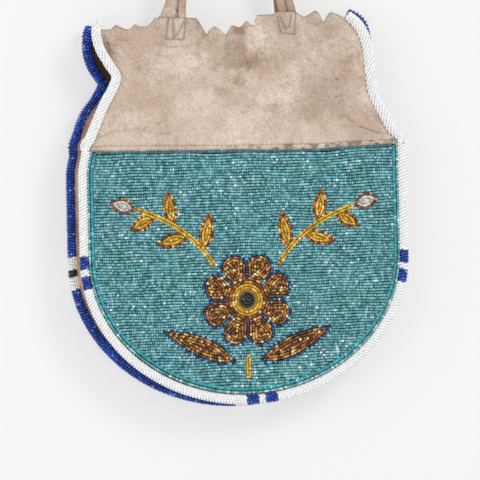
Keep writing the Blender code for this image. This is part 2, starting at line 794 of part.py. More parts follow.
def motif_plate(name, outlines, colour):
    """A piece of beadwork of another colour, made of one outline or several joined."""
    plates = [prism(name, outline, MOTIF_FRONT_Y, BEAD_BACK_Y) for outline in outlines]
    item = place(name, plates[0], colour, bag_frame)
    for i, plate in enumerate(plates[1:]):
        other = hide_away(f"{name}_join_{i}", plate)
        other.location.x = HANDLE_SHIFT
        boolean(item, other, "UNION")
    return item


def make_beadwork():
    top = PANEL_Z - FIT_GAP / 2
    teal_outline = bowl_outline(TEAL_INSET, top - FIT_GAP)
    inner_edge = bowl_outline(TEAL_INSET - FIT_GAP, top)
    outer_outline = bowl_outline(BEAD_INSET, top) + inner_edge[::-1]
    outer = prism("outer_row", outer_outline, BEAD_FRONT_Y, BEAD_BACK_Y)
    place("outer_row", outer, "pale_turquoise_beads", bag_frame)
    teal = prism("teal_row", teal_outline, MOTIF_FRONT_Y, BEAD_BACK_Y)
    teal = place("teal_row", teal, "teal_beads", bag_frame)
    field_top = top - FIT_GAP - TEAL_ROW_WIDTH
    teal_cut = bowl_outline(FIELD_INSET - FIT_GAP, field_top)
    boolean(teal, plate_cutter("teal_row_cut", teal_cut), "DIFFERENCE")
    outline = bowl_outline(FIELD_INSET, field_top - FIT_GAP)
    field = place("bead_field", rows_solid("bead_field", outline), "turquoise_beads", bag_frame)
    past_top = bowl_outline(FIELD_INSET, field_top + BAND_STEP)
    boolean(field, plate_cutter("field_edge", past_top), "INTERSECT")

    shapes = {
        "spray_right": (spray_outlines, "gold_beads"),
        "bud_right": (lambda grow: [bud_outline(grow)], "grey_beads"),
        "low_leaf_right": (lambda grow: [low_leaf_outline(grow)], "bronze_beads"),
    }
    for name, (outlines_of, colour) in shapes.items():
        left = name.replace("right", "left")
        motif_plate(name, outlines_of(0.0), colour)
        motif_plate(left, [mirrored(o) for o in outlines_of(0.0)], colour)
        for i, outline in enumerate(outlines_of(FIT_GAP)):
            plate_cutter(f"{name}_hole_{i}", outline, field_holes)
            plate_cutter(f"{left}_hole_{i}", mirrored(outline), field_holes)
    motif_plate("base_stem", [base_stem_outline(0.0)], "gold_beads")
    plate_cutter("base_stem_hole", base_stem_outline(FIT_GAP), field_holes)
    petals = motif_plate("blossom_petals", [blossom_outline(0.0)], "bronze_beads")
    plate_cutter("blossom_hole", blossom_outline(FIT_GAP), field_holes)
    boolean(field, field_holes, "DIFFERENCE")
    heart_hole = ring_outline(HEART_RADIUS_SHARE, FIT_GAP)
    boolean(petals, plate_cutter("heart_hole", heart_hole), "DIFFERENCE")
    heart = motif_plate("blossom_heart", [ring_outline(HEART_RADIUS_SHARE, 0.0)], "gold_beads")
    eye_hole = ring_outline(EYE_RADIUS_SHARE, FIT_GAP)
    boolean(heart, plate_cutter("eye_hole", eye_hole), "DIFFERENCE")
    motif_plate("blossom_eye", [ring_outline(EYE_RADIUS_SHARE, 0.0)], "black_beads")


# Straps


def strap_line():
    """The handle's middle line: two legs leaning in to a round crown over the hook."""
    crown_z = CROWN_WIDTH / 2 - CROWN_RADIUS
    foot = Vector((HANDLE_SPREAD / 2, HINGE_Z + FIT_GAP - crown_z))
    lean = math.atan2(foot.y, foot.x) + math.acos(CROWN_RADIUS / foot.length)
    touch = Vector((math.cos(lean), math.sin(lean))) * CROWN_RADIUS
    leg_count = STRAP_RINGS // 4
    arc_count = STRAP_RINGS - 2 * leg_count
    right = [foot.lerp(touch, i / leg_count) for i in range(leg_count)]
    arc = []
    for i in range(arc_count + 1):
        angle = lean + (math.pi - 2 * lean) * i / arc_count
        arc.append(Vector((math.cos(angle), math.sin(angle))) * CROWN_RADIUS)
    left = [Vector((-point.x, point.y)) for point in reversed(right)]
    return [Vector((point.x, 0, point.y + crown_z)) for point in right + arc + left]


def strap_section(middle, across, width, thickness):
    """Eight points round a flat strap with rounded edges."""
    corner = STRAP_CORNER_SHARE * thickness
    half_width, half = width / 2, thickness / 2
    corners = (
        (half_width, half - corner), (half_width - corner, half),
        (corner - half_width, half), (-half_width, half - corner),
        (-half_width, corner - half), (corner - half_width, -half),
        (half_width - corner, -half), (half_width, corner - half),
    )
    return [middle + across * u + Vector((0, v, 0)) for u, v in corners]


def strap_y(z):
    """Depth of a strap's middle: behind its hide at the mouth, beside the hook at the top."""
    at_mouth = MOUTH_DEPTH / 2 - HIDE / 2 - FIT_GAP - STRAP_THICKNESS / 2
    at_hook = FIT_GAP + CROWN_THICKNESS / 2
    return at_mouth + (at_hook - at_mouth) * (z - HINGE_Z) / HANDLE_DROP


def make_strap(name, depth_sign, frame):
    line = strap_line()
    rings = []
    for i, middle in enumerate(line):
        ahead = line[min(i + 1, len(line) - 1)] - line[max(i - 1, 0)]
        ahead.normalize()
        across = Vector((-ahead.z, 0, ahead.x))
        if i in (0, len(line) - 1):
            across = Vector((-1 if across.x < 0 else 1, 0, 0))
        crown_share = max(0.0, 1 - abs(middle.x) / (HANDLE_SPREAD / 2)) ** CROWN_EASE
        width = STRAP_WIDTH + (CROWN_WIDTH - STRAP_WIDTH) * crown_share
        thickness = STRAP_THICKNESS + (CROWN_THICKNESS - STRAP_THICKNESS) * crown_share
        point = middle.copy()
        point.y = depth_sign * strap_y(min(0.0, middle.z))
        rings.append(strap_section(point, across, width, thickness))
    place(name, loft(name, rings), "strap_hide", frame)


def make_tab(name, side, depth_sign, frame):
    """A strap's sewn end, inside the mouth."""
    middle = side * HANDLE_SPREAD / 2 - HANDLE_SHIFT
    left, right = middle - STRAP_WIDTH / 2, middle + STRAP_WIDTH / 2
    low, high = HINGE_Z - TAB_LENGTH, HINGE_Z
    outline = [(left, low), (right, low), (right, high), (left, high)]
    behind_hide = HIDE / 2 + FIT_GAP + STRAP_THICKNESS / 2
    face = "front" if depth_sign < 0 else "back"

    def depth_at(x, z):
        return depth_sign * (half_depth(face, x, z) - behind_hide)

    cuts = [((0, 0, low + (high - low) * i / TAB_CUTS), (0, 0, 1)) for i in range(1, TAB_CUTS)]
    cuts.append(((middle, 0, 0), (1, 0, 0)))
    place(name, sheet(name, outline, depth_at, STRAP_THICKNESS, cuts), "strap_hide", frame)


def make_handles():
    make_strap("front_strap", -1, front_strap_hinge)
    make_strap("back_strap", 1, back_strap_hinge)
    for side, where in ((-1, "left"), (1, "right")):
        make_tab(f"front_tab_{where}", side, -1, yoke_hinge)
        make_tab(f"back_tab_{where}", side, 1, bag_frame)


make_rolls()
make_yoke()
make_back_panel()
make_backings()
make_gusset()
make_beadwork()
make_handles()
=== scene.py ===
"""Dresses the beaded bag: suede hide, glass beads strung row by row, and the thread between them."""

import math

import bmesh
import bpy
import numpy as np
from mathutils import Matrix, Vector, kdtree, noise


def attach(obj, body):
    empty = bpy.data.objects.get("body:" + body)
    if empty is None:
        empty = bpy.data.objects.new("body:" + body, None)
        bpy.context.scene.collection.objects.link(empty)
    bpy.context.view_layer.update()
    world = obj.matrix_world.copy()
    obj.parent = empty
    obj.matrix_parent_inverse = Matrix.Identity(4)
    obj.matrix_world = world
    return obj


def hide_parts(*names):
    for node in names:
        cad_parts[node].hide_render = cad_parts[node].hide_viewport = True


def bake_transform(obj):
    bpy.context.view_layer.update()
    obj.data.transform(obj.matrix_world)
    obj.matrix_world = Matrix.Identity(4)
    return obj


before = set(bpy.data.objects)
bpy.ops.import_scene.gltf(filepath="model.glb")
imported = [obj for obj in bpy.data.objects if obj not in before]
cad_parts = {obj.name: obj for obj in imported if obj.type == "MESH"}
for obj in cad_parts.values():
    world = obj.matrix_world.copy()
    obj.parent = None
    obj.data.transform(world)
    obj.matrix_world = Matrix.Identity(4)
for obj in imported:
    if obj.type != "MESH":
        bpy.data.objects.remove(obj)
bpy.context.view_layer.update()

# Sizes that the solids have, in metres
SEAM_HALF_WIDTH = 0.1264
PANEL_SIDE_HEIGHT = 0.080
BOWL_DEPTH = 0.107
YOKE_HEIGHT = 0.1045
WAIST_INSET = 0.0289
SCALLOP_DEPTH = 0.0185
BAG_DEPTH = 0.028
CORNER_DEPTH = 0.022
MOUTH_DEPTH = 0.012
FIT_GAP = 0.0003
HANDLE_DROP = 0.118
HANDLE_SPREAD = 0.0873
HANDLE_SHIFT = 0.0039
CROWN_RADIUS = 0.026
STRAP_WIDTH = 0.014
STRAP_THICKNESS = 0.0026
CROWN_WIDTH = 0.009
CROWN_THICKNESS = 0.005
TAB_LENGTH = 0.022
HIDE = 0.0012
CANVAS = 0.0013
LINING = 0.0007
GUSSET = 0.0014
TEAL_ROW_WIDTH = 0.0026
OUTER_ROW_WIDTH = 0.00195
CHECK_DROP = 0.078
CHECK_OUTER_BAND = 0.0096
CHECK_MIDDLE_BAND = 0.0052
BOTTOM_CHECK_SHIFT = 0.0099
GUSSET_TUCK = 0.0010
GUSSET_FOLD = 0.006
LINING_INSET = 0.0021
CANVAS_INSET = 0.0032
BEAD_INSET = 0.00355

# Points closer than this are one point
MERGE_REACH = FIT_GAP / 100
MILLIMETRE = 0.001

# Beads, in metres: a row's pitch is a bead's width, and the step is its length on the thread
ROW_PITCH = 0.00212
BEAD_STEP = 0.00182
BEAD_RADIUS = 0.00102
BEAD_HALF_LENGTH = 0.00107
LINE_BEAD_STEP = 0.0015
LINE_BEAD_HALF_LENGTH = 0.00098
TEAL_BEAD_GIRTH = 1.18
# How a bead differs from a ball: wider round its waist, full in its shoulders, flat at its ends
BEAD_WAIST = 1.24
BEAD_SHOULDER = 1.08
BEAD_END = 0.88
# How far beads differ in size, tilt, place and length, and how many more or fewer fill a run
BEAD_SIZE_SPREAD = 0.07
BEAD_TILT = math.radians(5)
BEAD_SLIP = 0.00011
BEAD_STEP_SPREAD = 0.22
BEAD_COUNT_SPREAD = 0.2
# How the rows waver: the height, then waves by their share of it, length across and up, and phase
ROW_WAVE = 0.00028
ROW_WAVES = ((1.0, 0.045, 0.061, 0.0), (0.7, 0.083, -0.047, 1.3))
# Where the design cuts a row: looked at so finely, so far above and below the row's middle, and
# with the shortest run that still takes a bead
ROW_SCAN = 0.0001
ROW_LIFT_SHARE = 0.3
SHORTEST_RUN_SHARE = 0.45

# Beads of the motifs: their size, how close they may lie, and how far they stand out
MOTIF_BEAD_RADIUS = 0.00106
CLOSEST_BEADS = 0.00158
MOTIF_RISE = 0.00025
# How far behind the middles of its beads a motif's ground lies, and one motif's before another's
MOTIF_GROUND = 0.00045
MOTIF_LAYER = 0.00008
# How finely an outline is followed, how much too near it a bead may lie, how many rows it has at
# most and how many of the last beads are looked at for one that is too close
OUTLINE_STEP = 0.0004
OUTLINE_SLACK = 0.00008
MOST_ROWS = 40
LAST_BEADS = 2600

# Beads of the rolls: the dark ones are smaller, and the last ones keep off a stretch's ends
ROLL_BEAD_RADIUS = 0.00107
ROLL_BEAD_STEP = 0.00168
ROLL_BEAD_HALF_LENGTH = 0.00106
ROLL_ROW_PITCH = 0.00212
DARK_BEAD_SHARE = 0.94
ROLL_END_GAP = ROLL_BEAD_RADIUS * 0.7
# A roll's section with its beads on: half its length and half its thickness, then how far its
# middle is moved along the one and the other. The back roll is rounder than its solid
ROLL_SECTION = {"front": (0.0034, 0.0043), "back": (0.0042, 0.0040)}
ROLL_SHIFT = {"front": (-0.0009, 0.0003), "back": (0.0003, 0.0006)}
# How much of a roll's girth has beads, and how far its stitches slant along the seam
ROLL_COVER = {"front": 0.82, "back": 0.96}
ROLL_SKEW = {"front": 0.40, "back": 0.20}
# The front roll beside the yoke slants more and is fuller
YOKE_ROLL_SKEW = 1.5
YOKE_ROLL_GIRTH = 1.08
# How much further out the rolls hang at the bag's foot
ROLL_SAG = {"front": 0.0012, "back": 0.0022}
# How far out the back roll's right end stands, and between which shares of the yoke it gets there
ROLL_CREST = 0.0022
ROLL_CREST_SHARES = (0.72, 0.92)
# How far the rolls run on past the mouth's corners, and how they thin out there
ROLL_OVERRUN = {
    ("front", -1): 0.0, ("front", 1): 0.0022, ("back", -1): 0.0010, ("back", 1): 0.0022,
}
ROLL_END_SHARE = {"front": 0.90, "back": 0.72}
ROLL_TAPER = 0.007
# How deep the thread under a roll's beads lies below the beads' middles: pale beads lie closer
CORE_SINK = {"white": -0.0002, "blue": 0.0002, "black": 0.0002}

# How the hide draws the beaded panel out of true: its top left corner inwards, its top right
# corner up
DRAW_IN = 0.0028
DRAW_IN_REACH = 0.010
DRAW_UP = 0.0032
DRAW_UP_REACH_BELOW = 0.040
DRAW_UP_REACH_ABOVE = 0.010
DRAW_START = 0.045

# The flower design, as in the solids
DESIGN_HALF_WIDTH = 0.107
BLOSSOM_PETALS = 8
BLOSSOM_NOTCH_SHARE = 0.24
PETAL_ROUNDING = 0.5
LEAF_ROUNDING = 0.8
LEAF_SKEW = 0.85
SPRAY_LEAF_ANGLE = math.radians(52)
BLOSSOM_PLACE_SHARES = (0.0, -1.056)
BLOSSOM_RADIUS_SHARE = 0.346
HEART_RADIUS_SHARE = 0.1355
EYE_RADIUS_SHARE = 0.058
STEM_WIDTH_SHARE = 0.0411
SPRAY_ROOT_SHARES = (0.238, -0.813)
SPRAY_BEND_SHARES = (0.411, -0.523)
SPRAY_TIP_SHARES = (0.804, -0.411)
SPRAY_LEAF_LENGTH_SHARE = 0.280
SPRAY_LEAF_WIDTH_SHARE = 0.1075
BUD_LENGTH_SHARE = 0.196
BUD_WIDTH_SHARE = 0.117
LOW_LEAF_ROOT_SHARES = (0.0795, -1.495)
LOW_LEAF_TIP_SHARES = (0.645, -1.243)
LOW_LEAF_WIDTH_SHARE = 0.173
BASE_STEM_TOP_SHARE = -1.439
BASE_STEM_FOOT_SHARE = -1.6075
SPRAY_LEAF_SHARES = (
    (0.20, 1, 1.0),
    (0.42, -1, 0.92),
    (0.62, 1, 0.88),
    (0.82, -1, 0.76),
)

# Side seams above the panel: height up the yoke, and how far in, beside the waist
FRONT_LEFT_SHARES = (
    (0.0, 0.03), (0.04, 0.03), (0.087, 0.20), (0.178, 0.39), (0.269, 0.54), (0.36, 0.71),
    (0.45, 0.90), (0.535, 1.0), (0.634, 0.80), (0.726, 0.61), (0.827, 0.505), (0.92, 0.54),
)
FRONT_RIGHT_SHARES = (
    (0.0, 0.03), (0.04, 0.03), (0.123, 0.28), (0.232, 0.48), (0.333, 0.68), (0.412, 0.79),
    (0.502, 0.83), (0.592, 0.855), (0.686, 0.875), (0.809, 0.97), (0.90, 1.15), (0.955, 1.38),
)
BACK_LEFT_SHARES = (
    (0.0, 0.03), (0.04, 0.03), (0.107, 0.19), (0.18, 0.29), (0.27, 0.44), (0.36, 0.69),
    (0.452, 0.88), (0.497, 0.93), (0.544, 0.85), (0.635, 0.63), (0.728, 0.526), (0.822, 0.515),
    (0.89, 0.57),
)
BACK_RIGHT_SHARES = (
    (0.0, 0.03), (0.04, 0.03), (0.107, 0.19), (0.18, 0.29), (0.27, 0.44), (0.36, 0.69),
    (0.452, 0.80), (0.544, 0.78), (0.635, 0.69), (0.728, 0.66), (0.81, 0.70), (0.90, 0.82),
    (0.94, 0.98), (0.957, 1.13),
)
SIDE_SHARES = {
    ("front", -1): FRONT_LEFT_SHARES,
    ("front", 1): FRONT_RIGHT_SHARES,
    ("back", -1): BACK_LEFT_SHARES,
    ("back", 1): BACK_RIGHT_SHARES,
}

# Pinked top edge of the hide: place across beside the mouth's corner, and drop beside the deepest
TOP_EDGE_SHARES = (
    (-0.946, 0.77), (-0.905, 0.76), (-0.866, 0.57), (-0.80, 0.76), (-0.772, 0.76),
    (-0.732, 0.55), (-0.697, 0.65), (-0.642, 0.64), (-0.611, 0.47), (-0.589, 0.29),
    (-0.486, 0.26), (-0.368, 0.275), (-0.291, 0.31), (-0.269, 0.49), (-0.225, 0.98),
    (-0.209, 0.81), (-0.170, 0.63), (-0.135, 0.74), (-0.091, 1.0), (-0.049, 0.60),
    (0.020, 0.68), (0.080, 0.38), (0.108, 0.58), (0.147, 0.59), (0.172, 0.18), (0.324, 0.146),
    (0.347, 0.04), (0.518, 0.03), (0.600, 0.27), (0.693, 0.0), (0.726, 0.076), (0.769, 0.49),
    (0.818, 0.135), (0.846, 0.065), (0.910, 0.20), (0.966, 0.36),
)

# How much further down the back's pinked edge lies, so that the front's hides it
BACK_EDGE_DROP_SHARE = 0.50

# How far a crease bends from a straight line, with how many waves and phases, how much it fades
# towards its ends, and how high the lip beside it stands
CREASE_BEND = 0.0006
CREASE_WAVES = 7
CREASE_PHASES = 9
CREASE_END_FADE = 0.8
CREASE_LIP = 0.45
# Creases of the front hide and of the back, from (across, up) to (across, up) as shares of half
# the bag's width and of the yoke's height, then width and depth beside the hide's own thickness
CREASE_SHARES = (
    (-0.845, 0.85, -0.797, 0.717, 0.8, 0.85),
    (-0.797, 0.717, -0.755, 0.63, 0.8, 0.80),
    (-0.80, 0.74, -0.735, 0.66, 0.9, 0.45),
    (-0.765, 0.60, -0.80, 0.50, 1.1, 0.40),
    (-0.87, 0.78, -0.72, 0.74, 1.1, 0.45),
    (-0.85, 0.74, -0.70, 0.66, 1.0, 0.35),
    (-0.86, 0.70, -0.79, 0.62, 0.9, 0.45),
    (0.62, 0.25, 0.75, 0.150, 0.8, 0.70),
    (0.73, 0.155, 0.91, 0.088, 0.8, 0.95),
    (0.52, 0.18, 0.80, 0.13, 0.9, 0.30),
    (0.74, 0.36, 0.93, 0.12, 0.9, 0.40),
    (0.70, 0.31, 0.86, 0.15, 0.9, 0.35),
    (0.585, 0.54, 0.605, 0.50, 1.1, 0.60),
    (0.605, 0.50, 0.62, 0.52, 1.1, 0.55),
    (0.585, 0.37, 0.62, 0.39, 1.1, 0.60),
    (-0.52, 0.76, -0.30, 0.74, 1.5, 0.40),
    (-0.56, 0.69, -0.38, 0.68, 1.3, 0.35),
    (-0.93, 0.10, -0.70, 0.16, 1.4, 0.45),
    (-0.70, 0.16, -0.45, 0.12, 1.3, 0.30),
    (-0.10, 0.50, 0.10, 0.42, 1.5, 0.25),
    (0.15, 0.30, 0.42, 0.36, 1.5, 0.25),
)
BACK_CREASE_SHARES = (
    (-0.90, 0.12, -0.55, 0.22, 1.5, 0.60),
    (0.92, 0.10, 0.50, 0.26, 1.5, 0.60),
    (-0.30, 0.55, 0.20, 0.50, 1.4, 0.30),
    (-0.62, -0.55, 0.10, -0.95, 1.8, 0.40),
    (0.20, -0.35, 0.70, -0.60, 1.7, 0.35),
    (0.55, 0.70, 0.70, 0.40, 1.3, 0.40),
)

# Brown stains, then grey handling marks: (across, up, reach across, reach up, strength)
STAIN_SHARES = (
    (-0.83, 0.70, 0.055, 0.13, 1.0), (-0.74, 0.80, 0.07, 0.05, 0.55),
    (0.005, 0.86, 0.06, 0.05, 1.0), (0.046, 0.63, 0.17, 0.10, 0.85), (0.0, 0.74, 0.07, 0.10, 0.6),
    (-0.012, 0.51, 0.06, 0.06, 0.6), (-0.19, 0.80, 0.10, 0.12, 0.35), (-0.47, 0.86, 0.05, 0.10, 0.35),
    (-0.55, 0.60, 0.16, 0.14, 0.25), (0.68, 0.60, 0.10, 0.16, 0.30), (0.30, 0.25, 0.30, 0.12, 0.30),
    (-0.78, 0.28, 0.15, 0.14, 0.25),
)
SMUDGE_SHARES = (
    (0.45, 0.45, 0.17, 0.20, 0.30), (0.60, 0.31, 0.14, 0.12, 0.38), (0.62, 0.48, 0.08, 0.06, 0.40),
    (0.45, 0.85, 0.50, 0.28, 0.30), (-0.30, 0.95, 0.40, 0.12, 0.30),
    (-0.075, 0.74, 0.025, 0.11, 0.60), (-0.85, 0.55, 0.07, 0.12, 0.30), (-0.15, 0.62, 0.12, 0.10, 0.22),
)

# How soiled the hem is: place across, then strength
HEM_SOIL_SHARES = ((-0.5, 0.1), (-0.1, 0.45), (0.15, 0.9), (0.5, 1.2), (1.0, 1.1))

# Stitched box and V where each strap is sewn: corners as (across, up) in metres from the
# middle of the strap at the mouth
LEFT_BOX = ((-0.0069, -0.0050), (0.0068, -0.0053), (0.0042, -0.0219), (-0.0101, -0.0211))
LEFT_VEE = ((-0.0037, -0.0054), (-0.0033, -0.0203), (-0.0012, -0.0190), (0.0051, -0.0079))
RIGHT_BOX = ((-0.0086, -0.0043), (-0.0060, -0.0168), (0.0045, -0.0180), (0.0062, -0.0013))
RIGHT_VEE = ((-0.0067, -0.0031), (-0.0028, -0.0135), (0.0010, -0.0120), (0.0024, -0.0036))
STITCH_LENGTH = 0.0023
STITCH_GAP = 0.0001
STITCH_RADIUS = 0.0002
STITCH_DENT = 0.00035
STITCH_DENT_REACH = 0.0009

# The doubled hem: its width and height, its soft edge, and the groove that its sewing presses
HEM_WIDTH = 0.0037
HEM_HEIGHT = 0.0006
HEM_EDGE = 0.0006
HEM_PRESS = 0.0003
HEM_STITCH_RISE = 0.0031
HEM_STITCH_STEP = 0.0034
HEM_STITCH_HALF_LENGTH = 0.0011
HEM_STITCH_LIFT = 0.0004
HEM_STITCH_STRAY = 0.00012
HEM_STITCH_SLANT = 0.12
HEM_STITCH_INSET = 0.002
# The hem's soil: the size of its spots, how much is soiled, how sharply, and how far up it reaches
HEM_SPOT = 0.0045
HEM_SPOT_SHARE = 0.3
HEM_SPOT_CONTRAST = 2.2
HEM_SPOT_STRETCH = 1.5
HEM_SOIL_START = HEM_WIDTH * 0.7
HEM_SOIL_REACH = 0.0016

# The hide's unevenness, from large to fine: height and size of its lumps
HIDE_LUMPS = ((0.0009, 0.034), (0.00035, 0.011), (0.00015, 0.004))
# Its wrinkles: how deep and far apart, how narrow, and the patches where they gather
WRINKLE_DEPTH = 0.0004
WRINKLE_SPACING = 0.016
WRINKLE_SHARPNESS = 0.10
WRINKLE_PATCH = 0.040
WRINKLE_SHARE = 0.35
WRINKLE_CONTRAST = 1.3
# It lies flatter near the seams, and its pinked edge curls
CALM_REACH = 0.010
CALM_SHARE = 0.35
CURL_HEIGHT = 0.0012
CURL_REACH = 0.006
CURL_SIZE = 0.013
# How dark the painted shade of its lines is, and how far the painted shade of each reaches:
# wrinkles, sewing, the pinked rim, the seam, and the hem's foot and edge. A crease's painted
# shade is full at this share of the hide's thickness
WRINKLE_SHADE = 0.3
DENT_SHADE = 0.5
RIM_SHADE, RIM_REACH = 0.35, 0.0007
SEAM_SHADE, SEAM_REACH = 0.6, 0.0016
HEM_SHADE, HEM_FOOT_REACH, HEM_EDGE_REACH = 0.9, 0.0009, 0.0005
CREASE_FULL_SHARE = 0.7

# The gusset: how deep it lies in its middle and at its edges, and how its top dips
GUSSET_SINK = 0.0027
GUSSET_EDGE_SINK = 0.0008
GUSSET_TOP_DIP = 0.007
# Its pucker, as height and size, and how far it bulges round the foot
FOOT_PUCKER, FOOT_PUCKER_SIZE = 0.0005, 0.006
SIDE_PUCKER, SIDE_PUCKER_SIZE = 0.0007, 0.008
FOOT_BULGE = 0.0007
# How its painted shade deepens up the yoke, where it folds in, and its clouds of soil
GUSSET_SHADE_SHARES = (0.27, 0.57)
GUSSET_FOLD_SHADE = 1.6
GUSSET_SOIL = 0.20
GUSSET_SOIL_SPREAD = 0.35
GUSSET_CLOUD = 0.02

# Cloth and thread of the panel: how far they ripple, and where the thread lies under the beads
CANVAS_RIPPLE = 0.0001
LINING_RIPPLE = 0.0004
RIPPLE_SIZE = 0.028
THREAD_RISE = 0.00026
THREAD_DEPTH = 0.0002

# Section of a folded strap: across beside its width, out beside its thickness. The upper layer
# ends in a ledge near the middle
STRAP_SECTION_SHARES = (
    (-0.50, 0.12), (-0.47, 0.38), (-0.38, 0.50), (-0.22, 0.52), (-0.08, 0.50), (-0.03, 0.44),
    (-0.015, 0.16), (0.03, 0.14), (0.12, 0.30), (0.26, 0.36), (0.38, 0.34), (0.47, 0.24),
    (0.50, 0.04), (0.50, -0.12), (0.46, -0.40), (0.36, -0.50), (0.0, -0.50), (-0.36, -0.50),
    (-0.46, -0.40), (-0.50, -0.12),
)
STRAP_LEDGE = (5, 6, 7)
# How the ledge wanders: its reach, its waves in a metre, and how much of it the edges follow
LEDGE_SWAY = 0.0007
LEDGE_WAVES = 95
LEDGE_HALF_SHARE = 0.2
EDGE_SWAY_SHARE = 0.4
# The strap's wrinkles, as height, size and width of the fold, less behind and where it is sewn
STRAP_WRINKLE = 0.0005
STRAP_WRINKLE_SIZE = 0.009
STRAP_FOLD_WIDTH = 0.01
STRAP_WRINKLE_BEHIND = 0.3
STRAP_WRINKLE_SEWN = 0.2
STRAP_WRINKLE_RISE = 0.01
# How soon a strap comes free of the hide above the mouth, and where it bends as it swings
STRAP_FREE_RISE = 0.012
STRAP_AHEAD = 0.003
# How far the left strap's outer edge flares at the mouth, and over what height each part fades
STRAP_FLARES = ((0.0040, 0.025), (0.0035, 0.004))
STRAP_FLARE_DROP = 0.0052
STRAP_FLARE_FADE = 0.003
# A strap's marks: stain everywhere, more on the right and in clouds, soil at the mouth, and painted
# shade along its ledge
STRAP_STAINS = (0.20, 0.35, 0.4)
STRAP_CLOUD, STRAP_CLOUD_STRETCH = 0.02, 1.3
STRAP_SOIL, STRAP_SOIL_REACH = 0.6, 0.03
STRAP_LEDGE_SHADE = 0.9

# Fineness of the lines and sheets
SEAM_POINTS = 120
BOWL_POINTS = 181
SIDE_LINE_POINTS = 160
ROLL_ARC_POINTS = 721
CORE_COLUMNS = 12
HIDE_COLUMNS = 236
YOKE_ROWS = 92
HEM_ROWS = 8
HEM_ROW_SHARES = (0.055, 0.068)
BOWL_ROWS = 44
LOWEST_ROW_TURN = 88
HIDE_SIDE_ROWS = 34
CLOTH_COLUMNS = 72
CLOTH_SIDE_ROWS = 30
GUSSET_COLUMNS = 12
FOOT_GUSSET_ROWS = 190
SIDE_GUSSET_ROWS = 44
STRAP_ROWS = 190
STRAP_TAB_POINTS, STRAP_LEG_POINTS, STRAP_CROWN_POINTS = 16, 40, 60

HINGE_Z = -HANDLE_DROP
MOUTH_Z = HINGE_Z - FIT_GAP
PANEL_Z = MOUTH_Z - YOKE_HEIGHT
BOWL_Z = PANEL_Z - PANEL_SIDE_HEIGHT
SEAM_Y = BAG_DEPTH / 2
BEAD_Y = -(SEAM_Y + FIT_GAP + BEAD_RADIUS)
TEAL_INSET = BEAD_INSET + OUTER_ROW_WIDTH + FIT_GAP
FIELD_INSET = TEAL_INSET + TEAL_ROW_WIDTH + FIT_GAP
FIELD_TOP = PANEL_Z - FIT_GAP - TEAL_ROW_WIDTH
BLOSSOM_Z = PANEL_Z + BLOSSOM_PLACE_SHARES[1] * DESIGN_HALF_WIDTH
BLOSSOM_RADIUS = BLOSSOM_RADIUS_SHARE * DESIGN_HALF_WIDTH
HEART_RADIUS = HEART_RADIUS_SHARE * DESIGN_HALF_WIDTH
EYE_RADIUS = EYE_RADIUS_SHARE * DESIGN_HALF_WIDTH
STEM_WIDTH = STEM_WIDTH_SHARE * DESIGN_HALF_WIDTH


def bell(distance, reach):
    """1 where the distance is nothing, and almost nothing at twice the reach."""
    return np.exp(-((distance / reach) ** 2))


def eased(share):
    """A share from 0 to 1, with a soft start and a soft end."""
    return share * share * (3 - 2 * share)


def ramp_between(shares, value):
    """0 at the first share and 1 at the second."""
    start, full = shares
    return np.clip((value - start) / (full - start), 0, 1)


# The bag's seams and depth, in its own coordinates: x from its middle, z from the hook


def read_shares(shares, at):
    """A smooth curve through the pairs of a table, read at one place."""
    if at <= shares[0][0]:
        return shares[0][1]
    if at >= shares[-1][0]:
        return shares[-1][1]
    index = next(i for i in range(len(shares) - 1) if at <= shares[i + 1][0])
    (x0, y0), (x1, y1) = shares[index], shares[index + 1]
    before = shares[max(index - 1, 0)]
    after = shares[min(index + 2, len(shares) - 1)]
    slope0 = (y1 - before[1]) / (x1 - before[0])
    slope1 = (after[1] - y0) / (after[0] - x0)
    t, span = (at - x0) / (x1 - x0), x1 - x0
    return (
        (2 * t**3 - 3 * t**2 + 1) * y0
        + (t**3 - 2 * t**2 + t) * span * slope0
        + (3 * t**2 - 2 * t**3) * y1
        + (t**3 - t**2) * span * slope1
    )


def upper_seam(face, side):
    """Points up one side of the yoke, from the panel's top to the corner of the mouth."""
    shares = SIDE_SHARES[face, side]
    ups = np.linspace(shares[0][0], shares[-1][0], SEAM_POINTS)
    insets = np.array([read_shares(shares, up) for up in ups]) - shares[0][1]
    return np.column_stack([
        side * (SEAM_HALF_WIDTH - insets * WAIST_INSET), PANEL_Z + ups * YOKE_HEIGHT
    ])


SEAMS = {key: upper_seam(*key) for key in SIDE_SHARES}


def seam_x(face, side, z):
    """How far across a seam lies at a height."""
    seam = SEAMS[face, side]
    return np.interp(z, seam[:, 1], seam[:, 0])


def depth_at(z, top_depth):
    """Half the bag's depth at a height, where the mouth has the top depth."""
    return SEAM_Y - (BAG_DEPTH - top_depth) / 2 * eased(np.clip((z - PANEL_Z) / YOKE_HEIGHT, 0, 1))


def side_depth(z):
    return depth_at(z, CORNER_DEPTH)


def half_depth(face, x, z):
    """How far a face stands from the bag's middle: the mouth closes more than its corners."""
    at_middle = depth_at(z, MOUTH_DEPTH)
    seam = np.where(x < 0, seam_x(face, -1, z), seam_x(face, 1, z))
    out = np.minimum(1, np.abs(x / seam))
    return at_middle + (side_depth(z) - at_middle) * out * out


def lower_seam(inset=0.0):
    """Points down the left side of the panel, round the bowl and up its right side."""
    angles = np.linspace(0, math.pi, BOWL_POINTS)
    half, deep = SEAM_HALF_WIDTH - inset, BOWL_DEPTH - inset
    bowl = np.column_stack([-half * np.cos(angles), BOWL_Z - deep * np.sin(angles)])
    return np.vstack([[(-half, PANEL_Z)], bowl, [(half, PANEL_Z)]])


def half_width(z, inset):
    """Half the width of a U-shaped piece at a height."""
    sink = np.clip((BOWL_Z - z) / (BOWL_DEPTH - inset), 0, 1)
    return (SEAM_HALF_WIDTH - inset) * np.sqrt(1 - sink * sink)


